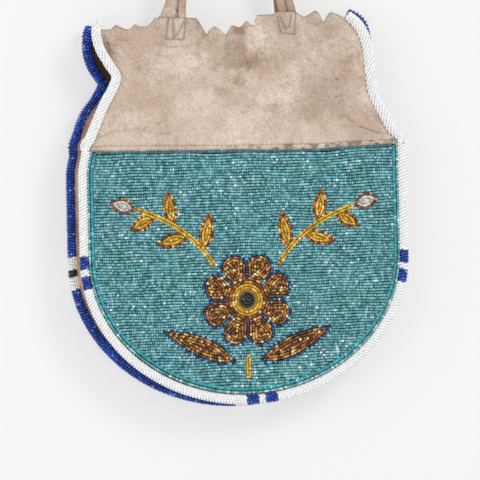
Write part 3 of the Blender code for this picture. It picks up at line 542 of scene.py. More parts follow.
class Path:
    """A line of points in the bag's face, read by the distance along it."""

    def __init__(self, points):
        self.points = np.asarray(points, float)
        steps = np.linalg.norm(np.diff(self.points, axis=0), axis=1)
        self.at = np.concatenate([[0], np.cumsum(steps)])
        self.length = self.at[-1]

    def point(self, distance):
        return np.column_stack([np.interp(distance, self.at, self.points[:, i]) for i in (0, 1)])

    def ahead(self, distance, reach=2 * MILLIMETRE):
        distance = np.asarray(distance, float)
        way = self.point(distance + reach) - self.point(distance - reach)
        return way / np.linalg.norm(way, axis=1, keepdims=True)


# Outlines of the design


def in_design(shares):
    return Vector(shares) * DESIGN_HALF_WIDTH


def ring_outline(radius, count=96):
    angles = 2 * math.pi * np.arange(count) / count
    return np.column_stack([radius * np.cos(angles), BLOSSOM_Z + radius * np.sin(angles)])


def blossom_outline(steps=40):
    """Rounded petals round the flower's middle."""
    angles = 2 * math.pi * np.arange(BLOSSOM_PETALS * steps) / (BLOSSOM_PETALS * steps)
    bulge = np.abs(np.sin(angles * BLOSSOM_PETALS / 2)) ** PETAL_ROUNDING
    radius = BLOSSOM_RADIUS * (1 - BLOSSOM_NOTCH_SHARE * (1 - bulge))
    return np.column_stack([radius * np.sin(angles), BLOSSOM_Z + radius * np.cos(angles)])


def leaf_outline(root, tip, width, steps=40):
    """A pointed leaf from root to tip, widest before its middle."""
    along = tip - root
    length = along.length
    along.normalize()
    along, root = np.array(along), np.array(root)
    aside = np.array((-along[1], along[0]))
    shares = np.linspace(0, 1, steps + 1)
    half = width / 2 * np.abs(np.sin(math.pi * shares**LEAF_SKEW)) ** LEAF_ROUNDING
    half[-1] = 0
    line = root + np.outer(length * shares, along)
    left, right = line + np.outer(half, aside), line - np.outer(half, aside)
    return np.vstack([left, right[::-1]]) + (0, PANEL_Z)


def stem_point(share):
    """A point of a spray's stem, and its direction there."""
    a, b, c = (in_design(p) for p in (SPRAY_ROOT_SHARES, SPRAY_BEND_SHARES, SPRAY_TIP_SHARES))
    point = a.lerp(b, share).lerp(b.lerp(c, share), share)
    return point, (b.lerp(c, share) - a.lerp(b, share)).normalized()


def stem_outline(steps=30):
    sides = {1: [], -1: []}
    for i in range(steps + 1):
        point, ahead = stem_point(i / steps)
        aside = Vector((-ahead.y, ahead.x)) * (STEM_WIDTH / 2)
        for side in sides:
            sides[side].append(point + aside * side)
    return np.array([tuple(p) for p in sides[1] + sides[-1][::-1]]) + (0, PANEL_Z)


def spray_leaf_outlines():
    outlines = []
    for share, side, length_share in SPRAY_LEAF_SHARES:
        root, ahead = stem_point(share)
        turn = math.atan2(ahead.y, ahead.x) + side * SPRAY_LEAF_ANGLE
        reach = SPRAY_LEAF_LENGTH_SHARE * DESIGN_HALF_WIDTH * length_share
        tip = root + Vector((math.cos(turn), math.sin(turn))) * reach
        outlines.append(leaf_outline(root, tip, SPRAY_LEAF_WIDTH_SHARE * DESIGN_HALF_WIDTH))
    return outlines


def bud_outline():
    tip, ahead = stem_point(1.0)
    root = tip + ahead * 2 * FIT_GAP
    end = root + ahead * BUD_LENGTH_SHARE * DESIGN_HALF_WIDTH
    return leaf_outline(root, end, BUD_WIDTH_SHARE * DESIGN_HALF_WIDTH)


def low_leaf_outline():
    root, tip = in_design(LOW_LEAF_ROOT_SHARES), in_design(LOW_LEAF_TIP_SHARES)
    return leaf_outline(root, tip, LOW_LEAF_WIDTH_SHARE * DESIGN_HALF_WIDTH)


def base_stem_outline():
    half = STEM_WIDTH / 2
    top = PANEL_Z + BASE_STEM_TOP_SHARE * DESIGN_HALF_WIDTH
    foot = PANEL_Z + BASE_STEM_FOOT_SHARE * DESIGN_HALF_WIDTH
    return np.array([(-half, foot), (half, foot), (half, top), (-half, top)])


def inside(outline, points):
    """Which points lie within a closed outline."""
    x, z = points[:, 0:1], points[:, 1:2]
    x0, z0 = outline[:, 0], outline[:, 1]
    x1, z1 = np.roll(x0, -1), np.roll(z0, -1)
    spans = (z0 > z) != (z1 > z)
    with np.errstate(divide="ignore", invalid="ignore"):
        crossing = (x1 - x0) * (z - z0) / (z1 - z0) + x0
    return (spans & (x < crossing)).sum(axis=1) % 2 == 1


# Materials


def linear(code):
    """An sRGB hex colour as linear RGBA."""
    values = [int(code[i : i + 2], 16) / 255 for i in (0, 2, 4)]
    lit = [v / 12.92 if v <= 0.04045 else ((v + 0.055) / 1.055) ** 2.4 for v in values]
    return (*lit, 1.0)


def feed(tree, node, values=None, links=None):
    """Sets a node's sockets by name or number, and links what feeds them."""
    for name, value in (values or {}).items():
        node.inputs[name].default_value = value
    for name, source in (links or {}).items():
        tree.links.new(source, node.inputs[name])


def add(tree, kind, values=None, links=None, stops=(), **settings):
    """Adds a node with its settings, its sockets' values and what feeds them."""
    made = tree.nodes.new(kind)
    for name, value in settings.items():
        setattr(made, name, value)
    feed(tree, made, values, links)
    for i, (place, colour) in enumerate(stops):
        stop = made.color_ramp.elements[i] if i < 2 else made.color_ramp.elements.new(place)
        stop.position, stop.color = place, linear(colour)
    return made


def grain(tree, place, width_mm, detail=2.0, roughness=0.5, distortion=0.0):
    """Smooth noise with a grain of one width."""
    values = {
        "Scale": 1 / (width_mm * MILLIMETRE), "Detail": detail, "Roughness": roughness,
        "Distortion": distortion,
    }
    return add(tree, "ShaderNodeTexNoise", values, {"Vector": place}).outputs[0]


def waves(tree, place, width_mm, way, **values):
    """Wave bands of one width, across one way."""
    values = {"Scale": math.pi / 10 / (width_mm * MILLIMETRE), **values}
    made = add(tree, "ShaderNodeTexWave", values, {"Vector": place}, bands_direction=way)
    return made.outputs["Fac"]


def remap(tree, value, low, high, to_low, to_high):
    values = {1: low, 2: high, 3: to_low, 4: to_high}
    return add(tree, "ShaderNodeMapRange", values, {0: value}).outputs[0]


def reckon(tree, operation, first, second, plus=None):
    """A sum on sockets and numbers."""
    values, links = {}, {}
    for socket, one in enumerate((first, second, plus)):
        if one is not None:
            (values if isinstance(one, float) else links)[socket] = one
    return add(tree, "ShaderNodeMath", values, links, operation=operation).outputs[0]


def ramp(tree, value, *stops):
    return add(tree, "ShaderNodeValToRGB", None, {0: value}, stops).outputs[0]


def blend(tree, amount, base, over):
    """One colour over another: by its code or its socket."""
    values, links = {}, {0: amount, 6: base}
    if isinstance(over, str):
        values[7] = linear(over)
    else:
        links[7] = over
    return add(tree, "ShaderNodeMix", values, links, data_type="RGBA").outputs[2]


def parts(tree, attribute):
    """The three numbers that a mesh gives for each of its points."""
    source = add(tree, "ShaderNodeAttribute", attribute_name=attribute).outputs["Vector"]
    return add(tree, "ShaderNodeSeparateXYZ", None, {0: source}).outputs


def new_finish(name):
    """A material with its nodes, its shader and the object's own coordinates."""
    finish = bpy.data.materials.new(name)
    finish.use_nodes = True
    tree = finish.node_tree
    place = add(tree, "ShaderNodeTexCoord").outputs["Object"]
    return finish, tree, tree.nodes["Principled BSDF"], place


def glass_beads(
    name, shades, outline=(), roughness=(0.16, 0.34), metallic=0.0, coat=0.4, mottle=(0.86, 1.12)
):
    """Glass seed beads: each bead has its own shade from the lot, and the outline rows another.

    The eye sees rows of small rounded lights, no two quite alike, with darker thread between. In most
    lots the palest shades, at the ramp's top, fall to a few beads as painted glints.
    """
    finish, tree, shader, place = new_finish(name)
    shade, polish, edge = parts(tree, "lot")
    # The palest shades at the ramp's top are painted glints on a few beads
    colour = ramp(tree, shade, *shades)
    if outline:
        colour = blend(tree, edge, colour, ramp(tree, shade, *outline))
    value = remap(tree, grain(tree, place, 0.4), 0.3, 0.7, *mottle)
    mottled = add(tree, "ShaderNodeHueSaturation", None, {"Color": colour, "Value": value})
    values = {"Metallic": metallic, "IOR": 1.52, "Coat Weight": coat, "Coat Roughness": 0.08}
    shine = remap(tree, polish, 0.0, 1.0, *roughness)
    feed(tree, shader, values, {"Base Color": mottled.outputs[0], "Roughness": shine})
    return finish


def suede(name, ground, pale, rosy, stain_and_shade, soil, sheen=0.2):
    """Brain-tanned hide: a soft matt nap, cloudy in colour, browner and greyer where handled, and
    darkened by painted shade in its creases and folds.

    The nap is drawn coarser than the real one, so that it shows at this size.
    """
    finish, tree, shader, place = new_finish(name)
    stained_and_shaded, soiled, creased = parts(tree, "wear_and_painted_shade")
    clouds = grain(tree, place, 30, 5.0, 0.52)
    blotches = grain(tree, place, 5.5, 5.0, 0.7, 0.4)
    nap = grain(tree, place, 1.5, 4.0, 0.75)
    base = ramp(tree, clouds, (0.36, ground), (0.64, pale))
    base = blend(tree, remap(tree, blotches, 0.46, 0.70, 0.0, 0.5), base, rosy)
    # The stain mark is real stain on the hide and the straps, and painted shade where the gusset folds
    # in
    for mark, colour in ((stained_and_shaded, stain_and_shade), (soiled, soil)):
        broken = reckon(tree, "MULTIPLY_ADD", blotches, 0.9, mark)
        base = blend(tree, remap(tree, broken, 0.58, 1.4, 0.0, 0.95), base, colour)
    flecks = remap(tree, nap, 0.34, 0.66, 0.82, 1.16)
    pores = remap(tree, grain(tree, place, 2.1, 2.0, 0.6, 1.2), 0.55, 0.70, 0.0, -0.20)
    # The third mark is painted shade: it darkens creases, wrinkles, dents, seams, the gusset's fold and
    # the strap's ledge
    value = reckon(tree, "MULTIPLY_ADD", creased, -0.45, reckon(tree, "ADD", flecks, pores))
    shaded = add(tree, "ShaderNodeHueSaturation", None, {"Color": base, "Value": value})
    bump = add(
        tree, "ShaderNodeBump", {"Strength": 0.8, "Distance": 0.55 * MILLIMETRE},
        {"Height": reckon(tree, "MULTIPLY_ADD", blotches, 0.7, nap)},
    )
    values = {
        "Roughness": 0.92, "Specular IOR Level": 0.2, "Sheen Weight": sheen, "Sheen Roughness": 0.5,
    }
    feed(tree, shader, values, {"Base Color": shaded.outputs[0], "Normal": bump.outputs[0]})
    return finish


def woven_cloth(name, dark, light, thread_mm):
    """Plain-woven cotton: crossing threads with a slight slub, matt all over."""
    finish, tree, shader, place = new_finish(name)
    slub = grain(tree, place, 9, 4.0)
    warp, weft = (waves(tree, place, thread_mm, way, Distortion=0.6, Detail=1.0) for way in "XZ")
    weave = reckon(tree, "MULTIPLY", warp, weft)
    colour = ramp(tree, reckon(tree, "MULTIPLY_ADD", weave, 0.5, slub), (0.3, dark), (0.9, light))
    bump = add(
        tree, "ShaderNodeBump", {"Strength": 0.5, "Distance": 0.25 * MILLIMETRE}, {"Height": weave}
    )
    feed(tree, shader, {"Roughness": 0.95}, {"Base Color": colour, "Normal": bump.outputs[0]})
    return finish


def twisted_thread(name, dark, light):
    """Waxed linen thread or sinew: short slanting strands with a dull wax shine."""
    finish, tree, shader, place = new_finish(name)
    strands = waves(tree, place, 0.5, "DIAGONAL", Distortion=1.5)
    colour = ramp(tree, strands, (0.1, dark), (0.9, light))
    feed(tree, shader, {"Roughness": 0.6}, {"Base Color": colour})
    return finish


FINISHES = {
    # Smoked buckskin of the body: pale tan with a pinkish cast, soft and cloudy to the eye
    "hide": suede("smoked_buckskin", "C3AD9A", "E2D1C0", "C9AB9B", "957960", "8B8078"),
    # The straps' hide has more handling in it, so it looks browner and duller
    "strap_hide": suede("handled_buckskin", "B89E8A", "D6C2B0", "BC9C88", "8E705A", "857566"),
    # The gusset's hide is tanned brown: it sets the white roll off; its dark brown is painted shade
    # where it folds in
    "gusset_hide": suede(
        "brown_gusset_hide", "B08A68", "D2B292", "AE8260", "3A2618", "765640", sheen=0.05
    ),
    # Grey-brown canvas, seen only from inside the mouth
    "canvas": woven_cloth("cotton_canvas", "8F8474", "C2B7A4", 0.9),
    # The lining's finer calico gives the inside a pale, even weave
    "lining_cloth": woven_cloth("calico_lining", "A2957F", "CFC4AE", 0.6),
    # Turquoise glass with a rainbow coat: soft grey-blue, with cyan, sky, lilac and straw lights, which
    # are partly the coat's colours and partly painted glints; the near-white lots are painted glints
    "turquoise_beads": glass_beads(
        "rainbow_turquoise_glass",
        (
            (0.0, "30747A"), (1.0, "F4FCFA"), (0.12, "44878D"), (0.34, "599AA0"), (0.62, "6CABB0"),
            (0.86, "85C2C7"), (0.92, "6CCCDE"), (0.95, "ACCBB8"), (0.97, "84C4EC"), (0.988, "C4E6EC"),
        ),
        roughness=(0.10, 0.28),
    ),
    # The seam's row is a paler lot of the same glass, a soft light line beside the white roll
    "pale_turquoise_beads": glass_beads(
        "pale_turquoise_glass",
        ((0.0, "4A8A8E"), (1.0, "F0FAF8"), (0.4, "66A2A4"), (0.75, "86BCBC"), (0.90, "BCDCD8")),
    ),
    # Silver-lined teal glass, which looks like a wet, continuous line. Its darker outline shades go to
    # the panel's top row as painted shade under the hem's edge, and its palest lots are painted glints
    "teal_beads": glass_beads(
        "silver_lined_teal_glass",
        ((0.0, "006A76"), (1.0, "84E0EC"), (0.3, "00828E"), (0.7, "0A98A2"), (0.95, "34B6C2")),
        outline=((0.0, "04343C"), (1.0, "248C98"), (0.4, "064A54"), (0.85, "0E6470")),
        roughness=(0.16, 0.24), coat=0.8,
    ),
    # Opaque chalk-white glass: the brightest thing in the picture, its rows drawn in grey thread
    "white_beads": glass_beads(
        "chalk_white_glass",
        ((0.0, "F4F4F6"), (1.0, "FFFFFF"), (0.3, "F9F9FA"), (0.8, "FDFDFE")), coat=0.5,
        mottle=(0.96, 1.05),
    ),
    # Transparent cobalt glass: deep blue, nearly black in its shade, with bright points that are
    # painted glints in its palest lots
    "blue_beads": glass_beads(
        "cobalt_glass",
        ((0.0, "001C6C"), (1.0, "78B0F0"), (0.3, "0034A0"), (0.75, "0048BC"), (0.95, "1A70D8")),
        roughness=(0.10, 0.22), coat=0.15,
    ),
    # Jet-black glass: a dark band with small sharp lights, whose grey lots are painted glints
    "black_beads": glass_beads(
        "jet_black_glass", ((0.0, "0B0B0C"), (1.0, "6F6F76"), (0.7, "161516"), (0.95, "2A2A30")),
        roughness=(0.06, 0.2), coat=0.5,
    ),
    # Metal-coated brown glass: copper, rust and gold lights over near black, edged in deep blue. Its
    # lights are partly the coat's colours and partly painted glints, the palest lots wholly painted
    # glints
    "bronze_beads": glass_beads(
        "bronze_iris_glass",
        (
            (0.0, "241208"), (1.0, "FFF3C8"), (0.20, "523014"), (0.40, "80521E"), (0.58, "9E6E2C"),
            (0.70, "B85A2A"), (0.78, "C08E36"), (0.88, "E4BC5C"), (0.93, "D27050"), (0.97, "F6E69C"),
        ),
        outline=(
            (0.0, "061A3A"), (1.0, "9FE0F6"), (0.5, "0C3468"), (0.78, "1B6A9C"), (0.92, "4FB4DC"),
        ),
        roughness=(0.14, 0.34), metallic=0.3,
    ),
    # Gold-lustre glass, warm and shiny, with the bronze beads that edge it
    "gold_beads": glass_beads(
        "gold_lustre_glass",
        (
            (0.0, "96700A"), (1.0, "FFEFA4"), (0.2, "BC9210"), (0.5, "D4A61A"), (0.75, "E2B628"),
            (0.9, "EEC64A"), (0.96, "F6DA7A"),
        ),
        outline=(
            (0.0, "2B1408"), (1.0, "FFD890"), (0.35, "6A3010"), (0.62, "A85624"), (0.85, "D87840"),
        ),
        roughness=(0.16, 0.32), metallic=0.15,
    ),
    # Pearl-grey glass of the buds: quiet and light, with a bronze edge
    "grey_beads": glass_beads(
        "pearl_grey_glass",
        ((0.0, "A8A8A0"), (1.0, "FFFFFF"), (0.4, "C6C6BE"), (0.8, "DCDCD4"), (0.93, "F0F0EC")),
        outline=((0.0, "2B1408"), (1.0, "F0B070"), (0.5, "6E3818"), (0.85, "B0602C")),
    ),
    # Waxed thread between and under the beads: each draws its own lot's gaps a little darker
    "bead_ground": twisted_thread("waxed_teal_thread", "2C6468", "4C888C"),
    "pale_ground": twisted_thread("waxed_white_thread", "A6A8AC", "D2D2D2"),
    "dark_ground": twisted_thread("waxed_dark_thread", "0A1430", "4A4040"),
    "gold_ground": twisted_thread("waxed_gold_thread", "86600A", "B08820"),
    "bronze_ground": twisted_thread("waxed_brown_thread", "3C2410", "6A4420"),
    "grey_ground": twisted_thread("waxed_grey_thread", "8E8E88", "B8B8B0"),
    "black_ground": twisted_thread("waxed_black_thread", "0A0A0C", "242428"),
    # Linen thread of the sewing: a fine broken line, browner than the hide
    "sewing_thread": twisted_thread("brown_linen_thread", "8A6A58", "B4937E"),
}


# Making the pieces


def drawn(points):
    """The bag's points after the hide has drawn the panel's corners out of true."""
    x, z = points[:, 0], points[:, 2]
    out = eased(ramp_between((DRAW_START, SEAM_HALF_WIDTH), np.abs(x)))
    off = z - PANEL_Z
    reach = np.where(off < 0, DRAW_UP_REACH_BELOW, DRAW_UP_REACH_ABOVE)
    moved = points.copy()
    moved[:, 0] += np.where(x < 0, out, 0) * DRAW_IN * bell(off, DRAW_IN_REACH)
    moved[:, 2] += np.where(x > 0, out, 0) * DRAW_UP * bell(off, reach)
    return moved


def finish_piece(bm, name, materials, body, nodes, shift=HANDLE_SHIFT):
    """Writes the mesh, moves it from the bag's middle to the hook's frame and hangs it on a body."""
    mesh = bpy.data.meshes.new(name)
    bm.to_mesh(mesh)
    bm.free()
    if shift:
        points = np.zeros(len(mesh.vertices) * 3, np.float32)
        mesh.vertices.foreach_get("co", points)
        points = drawn(points.reshape(-1, 3).astype(float)) + (shift, 0, 0)
        mesh.vertices.foreach_set("co", np.ascontiguousarray(points, np.float32).ravel())
        mesh.update()
    mesh.polygons.foreach_set("use_smooth", [True] * len(mesh.polygons))
    for material in materials:
        mesh.materials.append(FINISHES[material])
    item = bpy.data.objects.new(name, mesh)
    bpy.context.scene.collection.objects.link(item)
    if body:
        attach(item, body)
    if nodes:
        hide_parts(*nodes)
    return item


def set_points(mesh, name, values):
    """A vector for every point of a mesh, which its material reads."""
    attribute = mesh.attributes.new(name, "FLOAT_VECTOR", "POINT")
    attribute.data.foreach_set("vector", np.ascontiguousarray(values, np.float32).ravel())


def new_grid(bm, columns, rows):
    """The points of a flat grid, and where each one lies across and up it, from 0 to 1."""
    grid = bmesh.ops.create_grid(bm, x_segments=columns, y_segments=rows, size=1)["verts"]
    spots = (np.array([vert.co for vert in grid]) + 1) / 2
    return grid, spots[:, 0], spots[:, 1]


def put(grid, points):
    for vert, point in zip(grid, points):
        vert.co = point


def bead_shape():
    """A round seed bead with its thread along z: a small barrel of few faces."""
    bm = bmesh.new()
    bmesh.ops.create_uvsphere(bm, u_segments=8, v_segments=4, radius=1)
    for vert in bm.verts:
        out = math.hypot(vert.co.x, vert.co.y)
        if 0.5 < out < 0.9:
            vert.co.x, vert.co.y = vert.co.x * BEAD_WAIST, vert.co.y * BEAD_WAIST
            vert.co.z *= BEAD_SHOULDER
        elif out < 0.5:
            vert.co.z *= BEAD_END
    shape = bpy.data.meshes.new("bead_shape")
    bm.to_mesh(shape)
    bm.free()
    return shape


BEAD_SHAPE = bead_shape()
BEAD_POINTS = np.array([vert.co for vert in BEAD_SHAPE.vertices])


class Beads:
    """A string of beads to be: where each one is, which way its thread runs and its colour row."""

    def __init__(self, seed):
        self.rng = np.random.default_rng(seed)
        self.parts = []

    def lay(self, centres, along, facing, radius, half_length, tone=0.0):
        count = len(centres)
        if count:
            vectors = [np.broadcast_to(one, (count, 3)) for one in (centres, along, facing)]
            numbers = [np.broadcast_to(one, (count,)) for one in (radius, half_length, tone)]
            self.parts.append(vectors + numbers)

    def string(self, bm, slip=BEAD_SLIP, tilt=BEAD_TILT, spread=BEAD_SIZE_SPREAD):
        """Adds every bead to the mesh and returns the lot numbers of its points."""
        centres, along, facing, radius, half_length, tone = map(np.concatenate, zip(*self.parts))
        count = len(centres)
        centres = centres + self.rng.normal(0, slip / 2, (count, 3))
        along = along + self.rng.normal(0, tilt / 2, (count, 3))
        along /= np.linalg.norm(along, axis=1, keepdims=True)
        side = np.cross(facing, along)
        side /= np.linalg.norm(side, axis=1, keepdims=True)
        facing = np.cross(along, side)
        scale = 1 + self.rng.normal(0, spread / 2, (count, 3)).clip(-spread, spread)
        reach = np.stack([radius, radius, half_length], 1) * scale
        axes = np.stack([side, facing, along], 1)
        local = BEAD_POINTS[None] * reach[:, None]
        points = np.einsum("nvk,nkj->nvj", local, axes) + centres[:, None]
        points = np.ascontiguousarray(points, np.float32)
        shape = BEAD_SHAPE.copy()
        for bead in points:
            shape.vertices.foreach_set("co", bead.ravel())
            bm.from_mesh(shape)
        bpy.data.meshes.remove(shape)
        lot = np.column_stack([self.rng.random(count), self.rng.random(count), tone])
        return np.repeat(lot, len(BEAD_POINTS), axis=0)


def finish_beads(bm, lot, name, materials, body, nodes):
    """A beaded piece: the points that aren't beads take a lot of nothing."""
    padded = np.zeros((len(bm.verts), 3))
    padded[: len(lot)] = lot
    item = finish_piece(bm, name, materials, body, nodes)
    set_points(item.data, "lot", padded)


def string_beads(beads, name, colour, body, nodes, slot=None, **loose):
    """A piece that is beads alone."""
    bm = bmesh.new()
    lot = beads.string(bm, **loose)
    finish_beads(bm, lot, name, [colour], body, nodes)


# Bead rolls on the seams


def flat_vectors(pairs):
    """Pairs (x, z) in the bag's face as vectors in space."""
    return np.column_stack([pairs[:, 0], np.zeros(len(pairs)), pairs[:, 1]])


def roll_frame(path, distance, depth_sign):
    """Middle, long axis, short axis and relative girth of a roll at each distance."""
    middle, ahead = path.point(distance), path.ahead(distance)
    face = "front" if depth_sign < 0 else "back"
    at_left, above = middle[:, 0] < 0, middle[:, 1] - PANEL_Z
    outward = flat_vectors(np.column_stack([ahead[:, 1], -ahead[:, 0]]))
    centre = flat_vectors(middle)
    centre[:, 1] = depth_sign * side_depth(middle[:, 1])
    centre += outward * ROLL_SAG[face] * np.maximum(0, -outward[:, 2:])
    mouth = np.where(at_left, SEAMS[face, -1][-1, 1], SEAMS[face, 1][-1, 1])
    thinned = np.sqrt(np.clip((mouth - middle[:, 1]) / ROLL_TAPER, 0, 1))
    girth = ROLL_END_SHARE[face] + (1 - ROLL_END_SHARE[face]) * thinned
    if face == "front":
        girth *= 1 + (YOKE_ROLL_GIRTH - 1) * np.clip(above / ROLL_TAPER - 1, 0, 1)
    else:
        crest = ROLL_CREST * ramp_between(ROLL_CREST_SHARES, above / YOKE_HEIGHT)
        centre += outward * np.where(at_left, 0, crest)[:, None]
        girth = np.where(at_left, girth, 1)
    toward = np.array((0, depth_sign, 0))
    long_axis, short_axis = (outward - toward) / math.sqrt(2), (outward + toward) / math.sqrt(2)
    return centre, long_axis, short_axis, girth[:, None]


def roll_arc(half_length, half_thickness, cover, skew):
    """Angles that space a row's beads evenly round a roll, and how far each is from the middle."""
    angles = np.linspace(-math.pi / 2, 1.5 * math.pi, ROLL_ARC_POINTS)
    x, y = half_length * np.cos(angles), half_thickness * np.sin(angles)
    walked = np.concatenate([[0], np.cumsum(np.hypot(np.diff(x), np.diff(y)))])
    reach = walked[-1] * cover
    count = round(reach / ROLL_BEAD_STEP * math.hypot(1, skew)) + 1
    at = walked[-1] / 2 + np.linspace(-reach / 2, reach / 2, count)
    return np.interp(at, walked, angles), at - walked[-1] / 2


def make_roll(node, path, start, end, depth_sign, colour, body, seed):
    """A stretch of a bead roll: slanting rows of beads whipped over a core of thread."""
    face = node[: node.index("_")]
    radius = ROLL_BEAD_RADIUS * (1.0 if colour == "white" else DARK_BEAD_SHARE)
    half_length, half_thickness = (half - ROLL_BEAD_RADIUS for half in ROLL_SECTION[face])

    def on_section(distance, turn, sink=0.0):
        """Points round the roll's section, and the way that each of them faces."""
        centre, long_axis, short_axis, girth = roll_frame(path, distance, depth_sign)
        across, out = np.reshape(np.cos(turn), (-1, 1)), np.reshape(np.sin(turn), (-1, 1))
        long_shift, short_shift = ROLL_SHIFT[face]
        points = centre + long_axis * ((half_length - sink) * across * girth + long_shift)
        points = points + short_axis * ((half_thickness - sink) * out * girth + short_shift)
        facing = long_axis * across / half_length + short_axis * out / half_thickness
        return points, facing / np.linalg.norm(facing, axis=1, keepdims=True)

    skew = YOKE_ROLL_SKEW if "upper" in node else ROLL_SKEW[face]
    rows = max(1, round((end - start) / ROLL_ROW_PITCH / math.hypot(1, skew)))
    pitch = (end - start) / rows
    beads = Beads(seed)
    for angle, walked in zip(*roll_arc(half_length, half_thickness, ROLL_COVER[face], skew)):
        at = start + pitch * (np.arange(rows) + (0.5 - skew * walked / pitch) % 1)
        distance = np.clip(at, start + ROLL_END_GAP, end - ROLL_END_GAP)
        centre, facing = on_section(distance, angle)
        forward = flat_vectors(path.ahead(distance))
        along = np.cross(facing, forward) * -depth_sign - forward * skew
        beads.lay(centre, along, facing, radius, ROLL_BEAD_HALF_LENGTH)
    bm = bmesh.new()
    lot = beads.string(bm)
    stations = max(2, round((end - start) / ROLL_ROW_PITCH))
    core, round_it, along_it = new_grid(bm, CORE_COLUMNS, stations)
    distance = start + (end - start) * along_it
    put(core, on_section(distance, 2 * math.pi * round_it, CORE_SINK[colour])[0])
    faces = list({face for vert in core for face in vert.link_faces})
    bmesh.ops.remove_doubles(bm, verts=core, dist=MERGE_REACH)
    faces = [face for face in faces if face.is_valid]
    rims = [edge for face in faces for edge in face.edges if edge.is_boundary]
    faces += bmesh.ops.holes_fill(bm, edges=list(set(rims)), sides=0)["faces"]
    bmesh.ops.recalc_face_normals(bm, faces=faces)
    for face in faces:
        face.material_index = 1
    materials = (colour + "_beads", "pale_ground" if colour == "white" else "dark_ground")
    finish_beads(bm, lot, node + "_beadwork", materials, body, [node])


def make_lower_rolls(face, depth_sign, path, head, tail, colours, seed):
    """A face's roll from seam to seam round the foot, parted by three checks of three pieces."""
    ground, outer, inner = colours
    roll = f"{face}_roll_"
    half_band = CHECK_MIDDLE_BAND / 2
    half_check = half_band + CHECK_OUTER_BAND
    middles = (
        head + CHECK_DROP + half_check,
        head + (path.length - head - tail) / 2 + BOTTOM_CHECK_SHIFT,
        path.length - tail - CHECK_DROP - half_check,
    )
    stretches = ("left_side", "lower_left", "lower_right")
    begin = 0.0
    for where, before, middle in zip(("left", "bottom", "right"), stretches, middles):
        edges = middle + np.array((-half_check, -half_band, half_band, half_check))
        make_roll(roll + before, path, begin, edges[0], depth_sign, ground, "bag_body", seed)
        bands = zip(edges, edges[1:], (outer, inner, outer), ("first", "middle", "last"))
        for start, end, colour, part in bands:
            seed += 1
            node = f"{roll}{where}_check_{part}"
            make_roll(node, path, start, end, depth_sign, colour, "bag_body", seed)
        begin = edges[-1]
        seed += 1
    make_roll(roll + "right_side", path, begin, path.length, depth_sign, ground, "bag_body", seed)


def overrun(face, side):
    """The seam beside the yoke, run on a little past the mouth's corner."""
    seam = SEAMS[face, side]
    way = seam[-1] - seam[-6]
    past = ROLL_OVERRUN[face, side] + FIT_GAP / 10
    return np.vstack([seam, seam[-1] + way / np.linalg.norm(way) * past])


def make_rolls():
    """The white front roll, whose upper ends ride on the yoke, and the whole blue back roll."""
    make_lower_rolls("front", -1, Path(lower_seam()), 0.0, 0.0, ("white", "blue", "white"), 100)
    uppers = (("left", overrun("front", -1)[::-1], 140), ("right", overrun("front", 1), 141))
    for where, line, seed in uppers:
        path = Path(line)
        node = f"front_roll_upper_{where}"
        make_roll(node, path, 0, path.length, -1, "white", "front_upper", seed)
    up_left, up_right = overrun("back", -1)[::-1], overrun("back", 1)
    path = Path(np.vstack([up_left[:-1], lower_seam(), up_right[1:]]))
    head, tail = Path(up_left).length, Path(up_right).length
    make_lower_rolls("back", 1, path, head, tail, ("blue", "white", "black"), 200)


# Beadwork of the panel


def wave(x, z):
    """How far a row strays up or down: the rows waver together, as the hide under them gives."""
    return ROW_WAVE * sum(
        share * np.sin(2 * math.pi * (x / across + z / up) + phase)
        for share, across, up, phase in ROW_WAVES
    )


def flat_beads(beads, points, ahead, radius, half_length, y, tone=0.0):
    """Lays beads that face forward, at points (x, z) with their threads running ahead."""
    centres = flat_vectors(points) + (0, y, 0)
    beads.lay(centres, flat_vectors(ahead), (0, -1, 0), radius, half_length, tone)


def field_rows():
    """The field's rows, level across the panel and cut by the design: (x, z, length share)."""
    rng = np.random.default_rng(5)
    holes = [blossom_outline(), base_stem_outline()]
    for outline in [stem_outline(), *spray_leaf_outlines(), bud_outline(), low_leaf_outline()]:
        holes += [outline, outline * (-1, 1)]
    top = FIELD_TOP + FIT_GAP
    lift = ROW_LIFT_SHARE * ROW_PITCH
    rows = int((top - BOWL_Z + BOWL_DEPTH - FIELD_INSET) / ROW_PITCH)
    kept = []
    for row in range(rows + 1):
        z = top - ROW_PITCH * (row + 0.5)
        half = float(half_width(z + lift, FIELD_INSET)) + FIT_GAP
        if half < BEAD_STEP:
            continue
        x = np.arange(-half, half, ROW_SCAN)
        free = np.zeros(len(x), bool)
        for height in (-lift, 0.0, lift):
            spots = np.column_stack([x, z + wave(x, z) + height])
            free |= ~np.any([inside(hole, spots) for hole in holes], axis=0)
        turns = np.flatnonzero(np.diff(np.concatenate([[0], free, [0]])))
        for start, end in zip(turns[::2], turns[1::2]):
            left, right = x[start], x[end - 1] + ROW_SCAN
            spread = rng.uniform(-BEAD_COUNT_SPREAD, BEAD_COUNT_SPREAD)
            if right - left < BEAD_STEP * SHORTEST_RUN_SHARE:
                continue
            count = max(1, round((right - left) / BEAD_STEP + spread))
            lengths = rng.uniform(1 - BEAD_STEP_SPREAD, 1 + BEAD_STEP_SPREAD, count)
            lengths *= (right - left) / lengths.sum()
            spots = left + np.cumsum(lengths) - lengths / 2
            kept.append(np.column_stack([spots, z + wave(spots, z), lengths / BEAD_STEP]))
    return np.vstack(kept)


